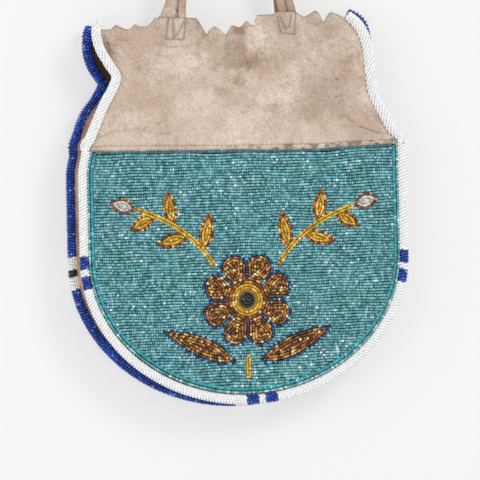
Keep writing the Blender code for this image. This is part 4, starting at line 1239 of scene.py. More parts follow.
def make_field():
    """The turquoise field, in three pieces from its top to its foot."""
    points = field_rows()
    points = points[np.argsort(-points[:, 1], kind="stable")]
    for part, (name, share) in enumerate(zip(("upper", "middle", "lower"), np.array_split(points, 3))):
        beads = Beads(300 + part)
        ahead = np.tile((1.0, 0.0), (len(share), 1))
        flat_beads(beads, share, ahead, BEAD_RADIUS, BEAD_HALF_LENGTH * share[:, 2], BEAD_Y)
        string_beads(beads, f"bead_field_{name}", "turquoise_beads", "bag_body", ["bead_field"])


def lane(beads, inset, step, radius, half_length, top=PANEL_Z):
    """A row of beads that follows the panel's edge."""
    line = lower_seam(inset)
    line[0, 1] = line[-1, 1] = top
    path = Path(line)
    count = int(path.length / step)
    at = path.length * (np.arange(count) + 0.5) / count
    flat_beads(beads, path.point(at), path.ahead(at, step / 2), radius, half_length, BEAD_Y)


def make_border():
    """The pale row along the seam, and the teal row inside it and along the panel's top."""
    beads = Beads(320)
    half = OUTER_ROW_WIDTH / 2
    lane(beads, BEAD_INSET + half, BEAD_STEP, half, BEAD_HALF_LENGTH)
    string_beads(beads, "outer_row_beadwork", "pale_turquoise_beads", "bag_body", ["outer_row"])
    beads = Beads(321)
    half = TEAL_ROW_WIDTH / 2
    top = PANEL_Z - FIT_GAP - half
    girth = half * TEAL_BEAD_GIRTH
    lane(beads, TEAL_INSET + half, LINE_BEAD_STEP, girth, LINE_BEAD_HALF_LENGTH, top)
    # The top row takes the teal's darker outline shades: painted shade under the hem's edge
    reach = SEAM_HALF_WIDTH - TEAL_INSET - TEAL_ROW_WIDTH
    x = np.arange(-reach, reach, LINE_BEAD_STEP)
    points = np.column_stack([x, np.full(len(x), top)])
    ahead = np.tile((1.0, 0.0), (len(x), 1))
    flat_beads(beads, points, ahead, half, LINE_BEAD_HALF_LENGTH, BEAD_Y + FIT_GAP, 1.0)
    tight = {"slip": BEAD_SLIP / 3, "tilt": BEAD_TILT / 2, "spread": BEAD_SIZE_SPREAD / 2}
    string_beads(beads, "teal_row_beadwork", "teal_beads", "bag_body", ["teal_row"], **tight)


def walk_round(outline):
    """A closed outline as close points with their directions, the inside on the left."""
    closed = np.vstack([outline, outline[:1]])
    x, z = closed[:, 0], closed[:, 1]
    if (x[:-1] * z[1:] - x[1:] * z[:-1]).sum() < 0:
        closed = closed[::-1]
    path = Path(closed)
    points = path.point(np.arange(0, path.length, OUTLINE_STEP))
    ahead = np.roll(points, -1, axis=0) - np.roll(points, 1, axis=0)
    ahead /= np.maximum(np.linalg.norm(ahead, axis=1, keepdims=True), MERGE_REACH)
    return points, ahead


def contour_rows(outline, placed, kept_clear, outline_tone, most_rows):
    """Beads that follow an outline inwards, row by row, as (point, ahead, tone) arrays.

    placed holds the beads already laid, which new ones stay clear of.
    """
    points, ahead = walk_round(outline)
    inward = np.column_stack([-ahead[:, 1], ahead[:, 0]])
    rows = []
    for row in range(most_rows):
        reach = BEAD_RADIUS + FIT_GAP / 3 + ROW_PITCH * row
        moved = points + inward * reach
        near = np.sqrt(((moved[:, None] - points[None]) ** 2).sum(axis=2)).min(axis=1)
        good = (near > reach - OUTLINE_SLACK) & inside(outline, moved)
        if kept_clear is not None:
            good &= ~inside(kept_clear, moved)
        if not good.any():
            break
        for point, way in zip(moved[good], ahead[good]):
            recent = placed[-LAST_BEADS:]
            if recent and min(math.dist(point, other) for other in recent) < CLOSEST_BEADS:
                continue
            placed.append(tuple(point))
            rows.append((*point, *way, outline_tone if row == 0 else 0.0))
    rows = np.array(rows)
    return rows[:, :2], rows[:, 2:4], rows[:, 4]


def lay_ground(bm, outline, y):
    """Waxed thread and hide under a motif's beads, as a thin sheet of its outline."""
    face = bm.faces.new([bm.verts.new((x, y, z)) for x, z in outline])
    face.material_index = 1
    if face.normal.y > 0:
        face.normal_flip()


def make_motif(node, outlines, colour, seed, kept_clear=None, veins=(), grounds=None, layer=0):
    """One flower or leaf of the design: rows that follow its outline, edged in another colour.

    Each outline comes with how far its first row has the edge's colour, and its most rows.
    """
    beads = Beads(seed)
    placed = []
    y = BEAD_Y - MOTIF_RISE
    for start, end in veins:
        reach = end - start
        count = max(2, round(reach.length / BEAD_STEP))
        points = np.array([tuple(start.lerp(end, (i + 0.5) / count)) for i in range(count)])
        placed += [tuple(point) for point in points]
        ahead = np.tile(tuple(reach.normalized()), (count, 1))
        flat_beads(beads, points, ahead, BEAD_RADIUS, BEAD_HALF_LENGTH, y, 1.0)
    for outline, edge_tone, most_rows in outlines:
        points, ahead, tones = contour_rows(outline, placed, kept_clear, edge_tone, most_rows)
        flat_beads(beads, points, ahead, MOTIF_BEAD_RADIUS, BEAD_HALF_LENGTH, y, tones)
    bm = bmesh.new()
    lot = beads.string(bm)
    for outline, _, _ in outlines[:grounds]:
        lay_ground(bm, outline, y + MOTIF_GROUND - layer * MOTIF_LAYER)
    slot = colour + "_beads"
    finish_beads(bm, lot, node + "_beadwork", (slot, colour + "_ground"), "bag_body", [node])


def petal_way(turns):
    """The way from the flower's middle, at a number of petals round it."""
    angle = 2 * math.pi * turns / BLOSSOM_PETALS
    return np.array((math.sin(angle), math.cos(angle)))


def petal_veins():
    """Dark rows from the notches between the petals in to the flower's heart."""
    middle = Vector((0, BLOSSOM_Z))
    start = HEART_RADIUS + BEAD_RADIUS * 2
    end = BLOSSOM_RADIUS * (1 - BLOSSOM_NOTCH_SHARE) - BEAD_RADIUS * 2
    ways = [Vector(petal_way(i)) for i in range(BLOSSOM_PETALS)]
    return [(middle + way * start, middle + way * end) for way in ways]


def petal_outlines(steps=40):
    """Each petal by itself, between the dark rows that part it from its neighbours."""
    whole = blossom_outline(steps=steps)
    whole = np.vstack([whole, whole[:1]])
    middle = np.array((0, BLOSSOM_Z))
    outlines = []
    for i in range(BLOSSOM_PETALS):
        arc = whole[i * steps : (i + 1) * steps + 1]
        ends = []
        for turns, side in ((i, 1), (i + 1, -1)):
            way = petal_way(turns)
            aside = np.array((way[1], -way[0])) * side * BEAD_RADIUS
            ends.append(middle + way * (HEART_RADIUS + BEAD_RADIUS) + aside)
        outlines.append((np.vstack([ends[0], arc[2:-2], ends[1]]), 0.0, MOST_ROWS))
    return outlines


def make_design():
    """The blossom with its heart and eye, two sprays with their buds, two leaves and a stem."""
    plain, edged = (0.0, MOST_ROWS), (1.0, MOST_ROWS)
    heart, eye = ring_outline(HEART_RADIUS), ring_outline(EYE_RADIUS)
    past_heart, past_eye = (ring_outline(r + BEAD_RADIUS) for r in (HEART_RADIUS, EYE_RADIUS))
    petals = [(blossom_outline(), 1.0, 1), *petal_outlines()]
    make_motif("blossom_petals", petals, "bronze", 340, past_heart, petal_veins(), grounds=1)
    make_motif("blossom_heart", [(heart, *edged)], "gold", 341, past_eye, layer=1)
    make_motif("blossom_eye", [(eye, *plain)], "black", 342, layer=2)
    for side, where in ((1, "right"), (-1, "left")):
        flip = (side, 1)
        spray = [(stem_outline() * flip, *plain)]
        spray += [(leaf * flip, *edged) for leaf in spray_leaf_outlines()]
        make_motif(f"spray_{where}", spray, "gold", 350 + side)
        make_motif(f"bud_{where}", [(bud_outline() * flip, *edged)], "grey", 360 + side)
        make_motif(f"low_leaf_{where}", [(low_leaf_outline() * flip, *edged)], "bronze", 370 + side)
    make_motif("base_stem", [(base_stem_outline(), *plain)], "gold", 380)


# Sheets of hide and cloth


def face_points(columns, levels, sides_at, top=None):
    """A grid bent to a face of the bag, with its rows at the levels and its sides on the seams.

    levels are heights from the foot up. Where top is given, it is the pinked edge as (x, z)
    points, and the rows above the panel close up under it.
    """
    bm = bmesh.new()
    rows = len(levels) - 1
    grid, across, up = new_grid(bm, columns, rows)
    level = np.interp(up * rows, np.arange(rows + 1), levels)

    def spread(left, right):
        return left + (right - left) * across

    if top is not None:
        x = spread(*sides_at(np.full(len(across), levels[-1])))
        for _ in range(6):
            left, right = sides_at(np.interp(x, top[:, 0], top[:, 1]))
            x = spread(np.maximum(left, top[0, 0] - 1), np.minimum(right, top[-1, 0] + 1))
        edge = np.interp(x, top[:, 0], top[:, 1])
        rise = np.clip((level - PANEL_Z) / (levels[-1] - PANEL_Z), 0, 1)
        level = np.where(level > PANEL_Z, PANEL_Z + rise * (edge - PANEL_Z), level)
    return bm, grid, spread(*sides_at(level)), level


def side_lines(face, inset):
    """How far left and right a sheet of one face reaches at a height."""
    lines = {}
    for side in (-1, 1):
        path = Path(SEAMS[face, side][::side])
        at = np.linspace(0, path.length, SIDE_LINE_POINTS)
        ahead = path.ahead(at)
        line = path.point(at) - np.column_stack([ahead[:, 1], -ahead[:, 0]]) * inset
        lines[side] = line[np.argsort(line[:, 1])]

    def sides_at(z):
        low = half_width(z, inset)
        left, right = (np.interp(z, lines[side][:, 1], lines[side][:, 0]) for side in (-1, 1))
        below = z < PANEL_Z
        return np.where(below, -low, left), np.where(below, low, right)

    return sides_at


def top_edge(face):
    """The pinked edge as (x, z). The back's is the front's left half, mirrored and lower."""
    shares = TOP_EDGE_SHARES
    if face == "back":
        left = [(x, drop + BACK_EDGE_DROP_SHARE) for x, drop in shares if x < 0]
        shares = left + [(-x, drop) for x, drop in reversed(left)]
    left_corner, right_corner = (abs(SEAMS[face, side][-1, 0]) for side in (-1, 1))
    return np.array([
        (x * (left_corner if x < 0 else right_corner), MOUTH_Z - drop * SCALLOP_DEPTH)
        for x, drop in shares
    ])


def along_line(x, z, a, b, bend=None):
    """How far along a line each point lies, from 0 to 1, and how far from the line it is."""
    way = np.subtract(b, a)
    share = np.clip(((x - a[0]) * way[0] + (z - a[1]) * way[1]) / (way @ way), 0, 1)
    rise = bend(share) if bend else 0
    return share, np.hypot(x - a[0] - share * way[0], z - a[1] - share * way[1] - rise)


def crease_relief(x, z, creases):
    """How deep the creases press into the hide: each a valley with a low lip beside it."""
    depth = np.zeros_like(x)
    for x0, up0, x1, up1, width_share, depth_share in creases:
        a = (x0 * SEAM_HALF_WIDTH, PANEL_Z + up0 * YOKE_HEIGHT)
        b = (x1 * SEAM_HALF_WIDTH, PANEL_Z + up1 * YOKE_HEIGHT)
        bend = lambda share: CREASE_BEND * np.sin(share * CREASE_WAVES + x0 * CREASE_PHASES)
        share, gap = along_line(x, z, a, b, bend)
        width = width_share * HIDE
        fade = np.sqrt(np.clip(1 - (2 * share - 1) ** 2 * CREASE_END_FADE, 0, 1))
        valley = bell(gap, width) - CREASE_LIP * bell(gap - 2 * width, width)
        depth += depth_share * HIDE * valley * fade
    return depth


def smudges(x, z, marks):
    """Soft marks on the hide, strongest in their middles."""
    amount = np.zeros_like(x)
    for across, up, reach_x, reach_z, strength in marks:
        dx = (x / SEAM_HALF_WIDTH - across) / reach_x
        dz = ((z - PANEL_Z) / YOKE_HEIGHT - up) / reach_z
        amount = np.maximum(amount, strength * np.exp(-(dx * dx + dz * dz)))
    return amount


def uneven(x, z, size, seed):
    """Smooth unevenness of a soft hide, from -1 to 1, over lumps of one size."""
    return np.array([noise.noise(Vector((a / size, b / size, seed))) for a, b in zip(x, z)])


def thicken(bm, thickness):
    """Gives a sheet its thickness on its inner side."""
    bmesh.ops.solidify(bm, geom=bm.faces[:], thickness=thickness)


def sewn_lines(face):
    """The sewn box and V of both ends of a face's strap, as lines in the bag's face."""
    lines = []
    for side, box, vee in ((-1, LEFT_BOX, LEFT_VEE), (1, RIGHT_BOX, RIGHT_VEE)):
        middle = side * HANDLE_SPREAD / 2 - HANDLE_SHIFT
        way = 1 if face == "front" else -1
        corners, points = ([(middle + x * way, HINGE_Z + z) for x, z in one] for one in (box, vee))
        if side < 0:
            corners = corners[1:] + corners[:1]
        lines += [*zip(corners, corners[1:]), *zip(points, points[1:])]
    return lines


def bowl_levels(inset):
    """Heights of the rows round the bowl, from just above its foot up."""
    turns = np.radians(np.linspace(LOWEST_ROW_TURN, 0, BOWL_ROWS))
    return BOWL_Z - (BOWL_DEPTH - inset) * np.sin(turns)


def hide_levels(face, inset):
    """Heights of a hide's rows, close together over the hem. The back begins at the foot."""
    hem_top, next_row = HEM_ROW_SHARES
    rise = np.concatenate([
        np.linspace(0, hem_top, HEM_ROWS), np.linspace(next_row, 1, YOKE_ROWS - HEM_ROWS)
    ])
    levels = PANEL_Z + FIT_GAP / 2 + rise * YOKE_HEIGHT
    if face == "front":
        return levels
    side = np.linspace(BOWL_Z, PANEL_Z, HIDE_SIDE_ROWS)[1:-1]
    return np.concatenate([bowl_levels(inset), side, levels])


def make_hide(face, name, node, body, creases, seed):
    """The hide of one face: uneven, creased, doubled at its hem and pinked along its mouth."""
    inset = CANVAS_INSET + FIT_GAP
    top, sides_at = top_edge(face), side_lines(face, inset)
    bm, grid, x, z = face_points(HIDE_COLUMNS, hide_levels(face, inset), sides_at, top)
    left, right = sides_at(z)
    beside = np.minimum(x - left, right - x)
    below_edge = np.interp(x, top[:, 0], top[:, 1]) - z
    at_mouth = z > PANEL_Z + YOKE_HEIGHT / 2
    above = z - PANEL_Z

    relief = sum(high * uneven(x, z, size, seed + i) for i, (high, size) in enumerate(HIDE_LUMPS))
    patches = WRINKLE_SHARE + WRINKLE_CONTRAST * uneven(x, z, WRINKLE_PATCH, seed + 5)
    wrinkled = bell(uneven(x, z, WRINKLE_SPACING, seed + 4), WRINKLE_SHARPNESS)
    wrinkled *= np.clip(patches, 0, 1)
    relief -= WRINKLE_DEPTH * wrinkled
    relief *= CALM_SHARE + (1 - CALM_SHARE) * np.clip(beside / CALM_REACH, 0, 1)
    pressed = crease_relief(x, z, creases)
    to_sewing = np.min([along_line(x, z, a, b)[1] for a, b in sewn_lines(face)], axis=0)
    dents = bell(to_sewing, STITCH_DENT_REACH)
    relief -= pressed + STITCH_DENT * dents
    curl = np.clip(1 - below_edge / CURL_REACH, 0, 1) ** 2 * uneven(x, z * 0, CURL_SIZE, seed + 3)
    relief += CURL_HEIGHT * np.where(at_mouth, curl, 0)

    # Painted shade: darker in wrinkles and creases, in the sewing's dents, under the pinked rim and
    # beside the seams
    dark = WRINKLE_SHADE * wrinkled + np.clip(pressed / (CREASE_FULL_SHARE * HIDE), 0, 1)
    dark += DENT_SHADE * dents + RIM_SHADE * np.where(at_mouth, bell(below_edge, RIM_REACH), 0)
    dark += SEAM_SHADE * bell(beside, SEAM_REACH)
    soiled = smudges(x, z, SMUDGE_SHARES)
    if face == "front":
        relief += HEM_HEIGHT * np.clip((HEM_WIDTH - above) / HEM_EDGE, 0, 1)
        relief -= HEM_PRESS * bell(above - HEM_STITCH_RISE, HEM_EDGE)
        spots = HEM_SPOT_CONTRAST * uneven(x, z * HEM_SPOT_STRETCH, HEM_SPOT, seed + 6)
        spots = np.clip(HEM_SPOT_SHARE + spots, 0, 1)
        spots *= np.interp(x / SEAM_HALF_WIDTH, *zip(*HEM_SOIL_SHARES))
        spots *= bell(np.maximum(0, above - HEM_SOIL_START), HEM_SOIL_REACH)
        soiled = np.maximum(soiled, spots)
        # Painted shade at the hem's foot and along its edge
        dark += HEM_SHADE * (bell(above, HEM_FOOT_REACH) + bell(above - HEM_WIDTH, HEM_EDGE_REACH))

    y = half_depth(face, x, z) + HIDE / 2 + relief
    put(grid, zip(x, -y if face == "front" else y, z))
    if face == "back":
        bmesh.ops.reverse_faces(bm, faces=bm.faces)
    thicken(bm, HIDE)
    item = finish_piece(bm, name, ["hide"], body, [node])
    # Stain and soil are real marks; the third column is the painted shade
    wear_and_painted_shade = np.column_stack([smudges(x, z, STAIN_SHARES), soiled, np.clip(dark, 0, 1)])
    if len(item.data.vertices) != 2 * len(wear_and_painted_shade):
        raise RuntimeError(f"{name}: {len(item.data.vertices)} points for {2 * len(wear_and_painted_shade)} marks")
    set_points(item.data, "wear_and_painted_shade", np.vstack([wear_and_painted_shade, wear_and_painted_shade]))


def make_backing(name, node, inset, front, thickness, material, ripple):
    """A flat sheet of the panel, cut to its U shape: the canvas, the lining or the bead ground."""
    side = np.linspace(BOWL_Z, PANEL_Z - FIT_GAP / 2, CLOTH_SIDE_ROWS)[1:]
    levels = np.concatenate([bowl_levels(inset), side])
    sides_at = lambda z: (-half_width(z, inset), half_width(z, inset))
    bm, grid, x, z = face_points(CLOTH_COLUMNS, levels, sides_at)
    y = front + ripple * (1 + uneven(x, z, RIPPLE_SIZE, inset / MILLIMETRE)) / 2
    put(grid, zip(x, y, z))
    thicken(bm, thickness)
    item = finish_piece(bm, name, [material], "bag_body", [node] if node else [])


def hollow(across, power):
    """1 at a strip's middle line and 0 at its edges, flatter for a higher power."""
    return 1 - np.abs(2 * across - 1) ** power


def gusset_sink(across):
    return GUSSET_EDGE_SINK + (GUSSET_SINK - GUSSET_EDGE_SINK) * hollow(across, 4)


def make_gusset(name, node, body, rows, place_at):
    """A strip of brown hide between the faces, with its outside outwards."""
    bm = bmesh.new()
    grid, across, along = new_grid(bm, GUSSET_COLUMNS, rows)
    put(grid, place_at(along, across))
    bmesh.ops.recalc_face_normals(bm, faces=bm.faces)
    flat = sum(face.calc_area() for face in bm.faces)
    outermost = max(bm.faces, key=lambda face: abs(face.calc_center_median().x))
    if outermost.normal.x * outermost.calc_center_median().x < 0:
        bmesh.ops.reverse_faces(bm, faces=bm.faces)
    thicken(bm, GUSSET)
    item = finish_piece(bm, name, ["gusset_hide"], body, [node])
    points = np.array([vert.co for vert in item.data.vertices])
    # Painted shade where the gusset folds in up the yoke: it browns the colour and darkens the value
    folded = ramp_between(GUSSET_SHADE_SHARES, (points[:, 2] - PANEL_Z) / YOKE_HEIGHT)
    soil = GUSSET_SOIL_SPREAD * uneven(points[:, 1], points[:, 2], GUSSET_CLOUD, 4.0)
    wear_and_painted_shade = np.column_stack([GUSSET_FOLD_SHADE * folded, GUSSET_SOIL + soil, folded])
    set_points(item.data, "wear_and_painted_shade", wear_and_painted_shade)
    return item


def make_gussets():
    """The brown strip between the two faces: pulled tight below, folded in beside the yoke."""
    path = Path(lower_seam())

    def bottom(along, across):
        at = along * path.length
        middle, ahead = path.point(at), path.ahead(at)
        y = (SEAM_Y - GUSSET_TUCK) * (2 * across - 1)
        pucker = FOOT_PUCKER * uneven(at, y, FOOT_PUCKER_SIZE, 1.5)
        sink = gusset_sink(across) + np.abs(pucker + FOOT_BULGE * hollow(across, 2))
        return np.column_stack([
            middle[:, 0] - ahead[:, 1] * sink, y, middle[:, 1] + ahead[:, 0] * sink
        ])

    make_gusset(
        "gusset_bottom_hide", "gusset_bottom", "bag_body", FOOT_GUSSET_ROWS, bottom
    )
    for side, node in ((-1, "gusset_left"), (1, "gusset_right")):
        top = min(SEAMS[face, side][-1, 1] for face in ("front", "back"))
        low = PANEL_Z + FIT_GAP

        def beside(along, across):
            z = low + (top - low) * along - GUSSET_TOP_DIP * hollow(across, 2) * along**8
            front, back = seam_x("front", side, z), seam_x("back", side, z)
            y = (side_depth(z) - GUSSET_TUCK) * (2 * across - 1)
            fold = GUSSET_FOLD * np.sin(math.pi * along / 2) * hollow(across, 1.6)
            pucker = SIDE_PUCKER * uneven(z, y, SIDE_PUCKER_SIZE, side * 2.5)
            x = front + (back - front) * across - side * (gusset_sink(across) + fold + pucker)
            return np.column_stack([x, y, z])

        item = make_gusset(node + "_hide", node, None, SIDE_GUSSET_ROWS, beside)
        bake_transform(item)


# Straps and sewing


def strap_line():
    """The handle's middle line, from one sewn end over the hook to the other, as (x, z)."""
    crown_z = CROWN_WIDTH / 2 - CROWN_RADIUS
    foot = np.array((HANDLE_SPREAD / 2, HINGE_Z - crown_z))
    lean = math.atan2(foot[1], foot[0]) + math.acos(CROWN_RADIUS / np.hypot(*foot))
    touch = np.array((math.cos(lean), math.sin(lean))) * CROWN_RADIUS
    angles = np.linspace(lean, math.pi - lean, STRAP_CROWN_POINTS)
    arc = np.column_stack([np.cos(angles), np.sin(angles)]) * CROWN_RADIUS
    leg = foot + np.outer(np.linspace(0, 1, STRAP_LEG_POINTS)[:-1], touch - foot)
    tab = foot - np.outer(np.linspace(TAB_LENGTH, MILLIMETRE, STRAP_TAB_POINTS), (0, 1))
    right = np.vstack([tab, leg])
    return np.vstack([right, arc, (right * (-1, 1))[::-1]]) + (0, crown_z)


def make_strap(name, face, nodes, seed):
    """A folded hide strap: flat and sewn down at its ends, bunched narrow over the hook."""
    sign = -1 if face == "front" else 1
    path = Path(strap_line())
    count = len(STRAP_SECTION_SHARES)
    bm = bmesh.new()
    grid, round_it, along_it = new_grid(bm, count, STRAP_ROWS)
    at = path.length * along_it
    corner = np.round(round_it * count).astype(int) % count
    section = np.array(STRAP_SECTION_SHARES)[corner]
    middle, ahead = path.point(at), path.ahead(at, STRAP_AHEAD)
    x, z = middle[:, 0], middle[:, 1]
    above = z - HINGE_Z
    crown = np.maximum(0, 1 - np.abs(x) / (HANDLE_SPREAD / 2)) ** 0.5 * (z > HINGE_Z)
    width = STRAP_WIDTH + (CROWN_WIDTH - STRAP_WIDTH) * crown
    thick = STRAP_THICKNESS + (CROWN_THICKNESS - STRAP_THICKNESS) * crown

    behind = HIDE / 2 + FIT_GAP + STRAP_THICKNESS / 2
    sewn = half_depth(face, x - HANDLE_SHIFT, z) - behind
    at_mouth = MOUTH_DEPTH / 2 - behind
    free = at_mouth + (FIT_GAP + CROWN_THICKNESS / 2 - at_mouth) * above / HANDLE_DROP
    depth = sewn + (free - sewn) * eased(np.clip(above / STRAP_FREE_RISE, 0, 1))
    wrinkle = STRAP_WRINKLE * uneven(at, section[:, 0] * STRAP_FOLD_WIDTH, STRAP_WRINKLE_SIZE, seed)
    wrinkle *= np.where(section[:, 1] > 0, 1, STRAP_WRINKLE_BEHIND)
    wrinkle *= np.clip(above / STRAP_WRINKLE_RISE, STRAP_WRINKLE_SEWN, 1)

    sway = LEDGE_SWAY * np.sin(at * LEDGE_WAVES + seed)
    in_middle = np.abs(section[:, 0]) < LEDGE_HALF_SHARE
    aside = section[:, 0] * width + np.where(in_middle, sway, sway * EDGE_SWAY_SHARE)
    flat_out = np.column_stack([-ahead[:, 1], ahead[:, 0]])
    if face == "front":
        outer = np.clip(flat_out[:, 0] * section[:, 0] * sign * np.sign(x) * 2, 0, 1)
        over_foot = above + STRAP_FLARE_DROP
        flare = np.clip(1 + over_foot / STRAP_FLARE_FADE, 0, 1) * (x < 0) * sum(
            reach * np.exp(-np.maximum(0, over_foot) / fade) for reach, fade in STRAP_FLARES
        )
        aside += np.sign(section[:, 0]) * outer * flare
    points = np.column_stack([
        x + flat_out[:, 0] * aside * sign,
        sign * (depth + section[:, 1] * thick + wrinkle),
        z + flat_out[:, 1] * aside * sign,
    ])
    put(grid, points)
    places = kdtree.KDTree(len(points))
    for index, point in enumerate(points):
        places.insert(point, index)
    places.balance()
    bmesh.ops.remove_doubles(bm, verts=bm.verts, dist=MERGE_REACH)
    rims = [edge for edge in bm.edges if edge.is_boundary]
    bmesh.ops.holes_fill(bm, edges=rims, sides=0)
    bmesh.ops.recalc_face_normals(bm, faces=bm.faces)
    item = finish_piece(bm, name, ["strap_hide"], None, nodes, shift=0)

    spots = np.array([vert.co for vert in item.data.vertices])
    x, z = spots[:, 0], spots[:, 2]
    everywhere, at_right, in_clouds = STRAP_STAINS
    clouds = in_clouds * uneven(x * STRAP_CLOUD_STRETCH, z, STRAP_CLOUD, seed)
    corners = corner[[places.find(spot)[1] for spot in spots]]
    # Painted shade along the ledge of the folded strap
    ledge = np.where(np.isin(corners, STRAP_LEDGE), STRAP_LEDGE_SHADE, 0)
    soil = STRAP_SOIL * bell(z, STRAP_SOIL_REACH)
    wear_and_painted_shade = np.column_stack([everywhere + at_right * (x > 0) + clouds, soil, ledge])
    set_points(item.data, "wear_and_painted_shade", wear_and_painted_shade)
    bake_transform(item)


def lay_stitches(beads, face, sign):
    """The box and V that hold a strap's ends, pressed into the hide."""
    for a, b in sewn_lines(face):
        a, b = np.array(a), np.array(b)
        reach = np.linalg.norm(b - a)
        count = max(2, round(reach / (STITCH_LENGTH + STITCH_GAP)))
        points = a + np.outer((np.arange(count) + 0.5) / count, b - a)
        centres = flat_vectors(points)
        centres[:, 1] = sign * (half_depth(face, points[:, 0], points[:, 1]) + HIDE * 0.5)
        way = (b - a) / reach
        half = reach / count * 0.5 - STITCH_GAP / 2
        beads.lay(centres, (way[0], 0, way[1]), (0, sign, 0), STITCH_RADIUS, half)


def make_stitches():
    """Linen stitches: the box and V that hold each strap, and the whipped hem of the hide."""
    for face, sign, body, seed in (("front", -1, "front_upper", 400), ("back", 1, "bag_body", 410)):
        beads = Beads(seed)
        lay_stitches(beads, face, sign)
        if face == "front":
            half = SEAM_HALF_WIDTH - CANVAS_INSET - HEM_STITCH_INSET
            count = round(2 * half / HEM_STITCH_STEP)
            x, z = np.linspace(-half, half, count), np.full(count, PANEL_Z + HEM_STITCH_RISE)
            y = -(half_depth(face, x, z) + HIDE * 0.5 + HEM_STITCH_LIFT)
            stray = np.random.default_rng(seed).normal(0, HEM_STITCH_STRAY, count)
            centres = np.column_stack([x, y, z + stray])
            along = (1.0, 0, HEM_STITCH_SLANT)
            beads.lay(centres, along, (0, sign, 0), STITCH_RADIUS, HEM_STITCH_HALF_LENGTH)
        string_beads(
            beads, f"{face}_stitches", "sewing_thread", body, [], slot="hide", slip=BEAD_SLIP / 2
        )


make_rolls()
make_field()
make_border()
make_design()
make_hide("front", "yoke_hide", "front_yoke", "front_upper", CREASE_SHARES, 3.0)
make_hide("back", "back_hide", "back_panel", "bag_body", BACK_CREASE_SHARES, 9.0)
make_backing(
    "bead_ground", None, BEAD_INSET, -SEAM_Y - THREAD_RISE, THREAD_DEPTH, "bead_ground", 0.0,
)
make_backing(
    "panel_canvas_cloth", "panel_canvas", CANVAS_INSET, -SEAM_Y, CANVAS, "canvas",
    CANVAS_RIPPLE,
)
make_backing(
    "panel_lining_cloth", "panel_lining", LINING_INSET, -SEAM_Y + CANVAS + FIT_GAP, LINING,
    "lining_cloth", LINING_RIPPLE,
)
make_gussets()
make_strap(
    "front_strap_hide", "front",
    ["front_strap", "front_tab_left", "front_tab_right"], 1.0,
)
make_strap(
    "back_strap_hide", "back",
    ["back_strap", "back_tab_left", "back_tab_right"], 2.0,
)
make_stitches()

# Camera, light and room

VIEW_AZIMUTH = math.radians(-18)
VIEW_ROLL = math.radians(-1.2)
VIEW_DISTANCE = 2.8
PICTURE_WIDTH = 0.360
VIEW_TARGET = Vector((-0.0004, -0.014, -0.2908))
SENSOR = 36.0
# Each light's place, size, power and colour
KEY_LIGHT = ((0.80, -1.70, 0.80), 0.7, 14.2, "FFFDF8")
FILL_LIGHT = ((-1.4, -1.3, -0.1), 1.4, 12.0, "F8FAFF")
ROOM_STRENGTH = 0.60
# Radius and place of the floor and the wall, and the radii between which each fades out
FLOOR_RADIUS, FLOOR_PLACE, FLOOR_FADE = 1.6, (0, 0, -0.62), (0.8, 1.5)
WALL_RADIUS, WALL_PLACE, WALL_FADE = 0.45, (0, 0.0225, -0.28), (0.27, 0.42)
WALL_GLOW = 0.555


def make_camera():
    lens = bpy.data.cameras.new("camera")
    lens.sensor_width = SENSOR
    lens.lens = SENSOR * VIEW_DISTANCE / PICTURE_WIDTH
    camera = bpy.data.objects.new("camera", lens)
    bpy.context.scene.collection.objects.link(camera)
    back = Vector((math.sin(VIEW_AZIMUTH), -math.cos(VIEW_AZIMUTH), 0))
    camera.location = VIEW_TARGET + back * VIEW_DISTANCE
    turn = (-back).to_track_quat("-Z", "Y").to_matrix().to_4x4()
    roll = Matrix.Rotation(VIEW_ROLL, 4, "Z")
    camera.rotation_euler = (turn @ roll).to_euler()
    bpy.context.scene.camera = camera


def make_light(name, place, size, power, colour):
    lamp = bpy.data.lights.new(name, "AREA")
    lamp.size, lamp.energy, lamp.color = size, power, linear(colour)[:3]
    item = bpy.data.objects.new(name, lamp)
    item.location = place
    item.rotation_euler = (VIEW_TARGET - Vector(place)).to_track_quat("-Z", "Y").to_euler()
    bpy.context.scene.collection.objects.link(item)


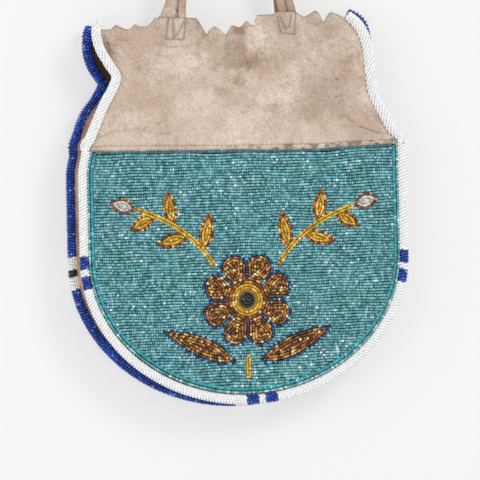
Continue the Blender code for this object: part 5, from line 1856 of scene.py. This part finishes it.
def pale_paint(name, colour, glow, fade, camera_only=False):
    """Matt white paint that fades out round its middle, so that no edge of it shows."""
    finish, tree, shader, place = new_finish(name)
    away = add(tree, "ShaderNodeVectorMath", None, {0: place}, operation="LENGTH").outputs["Value"]
    shown = remap(tree, away, *fade, 1.0, 0.0)
    if camera_only:
        rays = add(tree, "ShaderNodeLightPath").outputs["Is Camera Ray"]
        behind = add(tree, "ShaderNodeNewGeometry").outputs["Backfacing"]
        front = add(
            tree, "ShaderNodeMath", None, {0: rays, 1: behind}, operation="SUBTRACT", use_clamp=True
        )
        shown = reckon(tree, "MULTIPLY", shown, front.outputs[0])
    feed(tree, shader, {
        "Base Color": linear(colour), "Roughness": 1.0, "Specular IOR Level": 0.0,
        "Emission Color": linear("FFFFFF"), "Emission Strength": glow,
    })
    clear = add(tree, "ShaderNodeBsdfTransparent").outputs[0]
    both = add(tree, "ShaderNodeMixShader", None, {0: shown, 1: clear, 2: shader.outputs[0]})
    feed(tree, tree.nodes["Material Output"], None, {"Surface": both.outputs[0]})
    return finish


def make_ground(name, finish, radius, place, turn):
    bm = bmesh.new()
    bmesh.ops.create_circle(bm, cap_ends=True, segments=96, radius=radius)
    mesh = bpy.data.meshes.new(name)
    bm.to_mesh(mesh)
    bm.free()
    mesh.materials.append(finish)
    item = bpy.data.objects.new(name, mesh)
    item.location, item.rotation_euler = place, turn
    bpy.context.scene.collection.objects.link(item)


def make_room():
    """A pale room: soft light from all round, a floor below and a wall close behind the bag."""
    world = bpy.data.worlds.new("pale_room")
    bpy.context.scene.world = world
    world.use_nodes = True
    tree = world.node_tree
    rays = add(tree, "ShaderNodeLightPath").outputs
    seen = rays["Is Camera Ray"]
    for kind in ("Is Transmission Ray", "Is Glossy Ray"):
        seen = reckon(tree, "MAXIMUM", seen, rays[kind])
    shown = add(tree, "ShaderNodeBackground", {"Color": linear("F3F3F3"), "Strength": 1.0})
    back = tree.nodes["Background"]
    feed(tree, back, {"Color": linear("FFFFFF"), "Strength": ROOM_STRENGTH})
    links = {0: seen, 1: back.outputs[0], 2: shown.outputs[0]}
    both = add(tree, "ShaderNodeMixShader", None, links)
    feed(tree, tree.nodes["World Output"], None, {"Surface": both.outputs[0]})
    floor = pale_paint("matt_white_floor", "F2F2F2", 0.0, FLOOR_FADE)
    make_ground("floor", floor, FLOOR_RADIUS, FLOOR_PLACE, (0, 0, 0))
    wall = pale_paint("matt_white_wall", "A2A2A2", WALL_GLOW, WALL_FADE, camera_only=True)
    make_ground("wall", wall, WALL_RADIUS, WALL_PLACE, (math.pi / 2, 0, 0))


bpy.context.scene.view_settings.view_transform = "Standard"
make_camera()
make_light("key", *KEY_LIGHT)
make_light("fill", *FILL_LIGHT)
make_room()
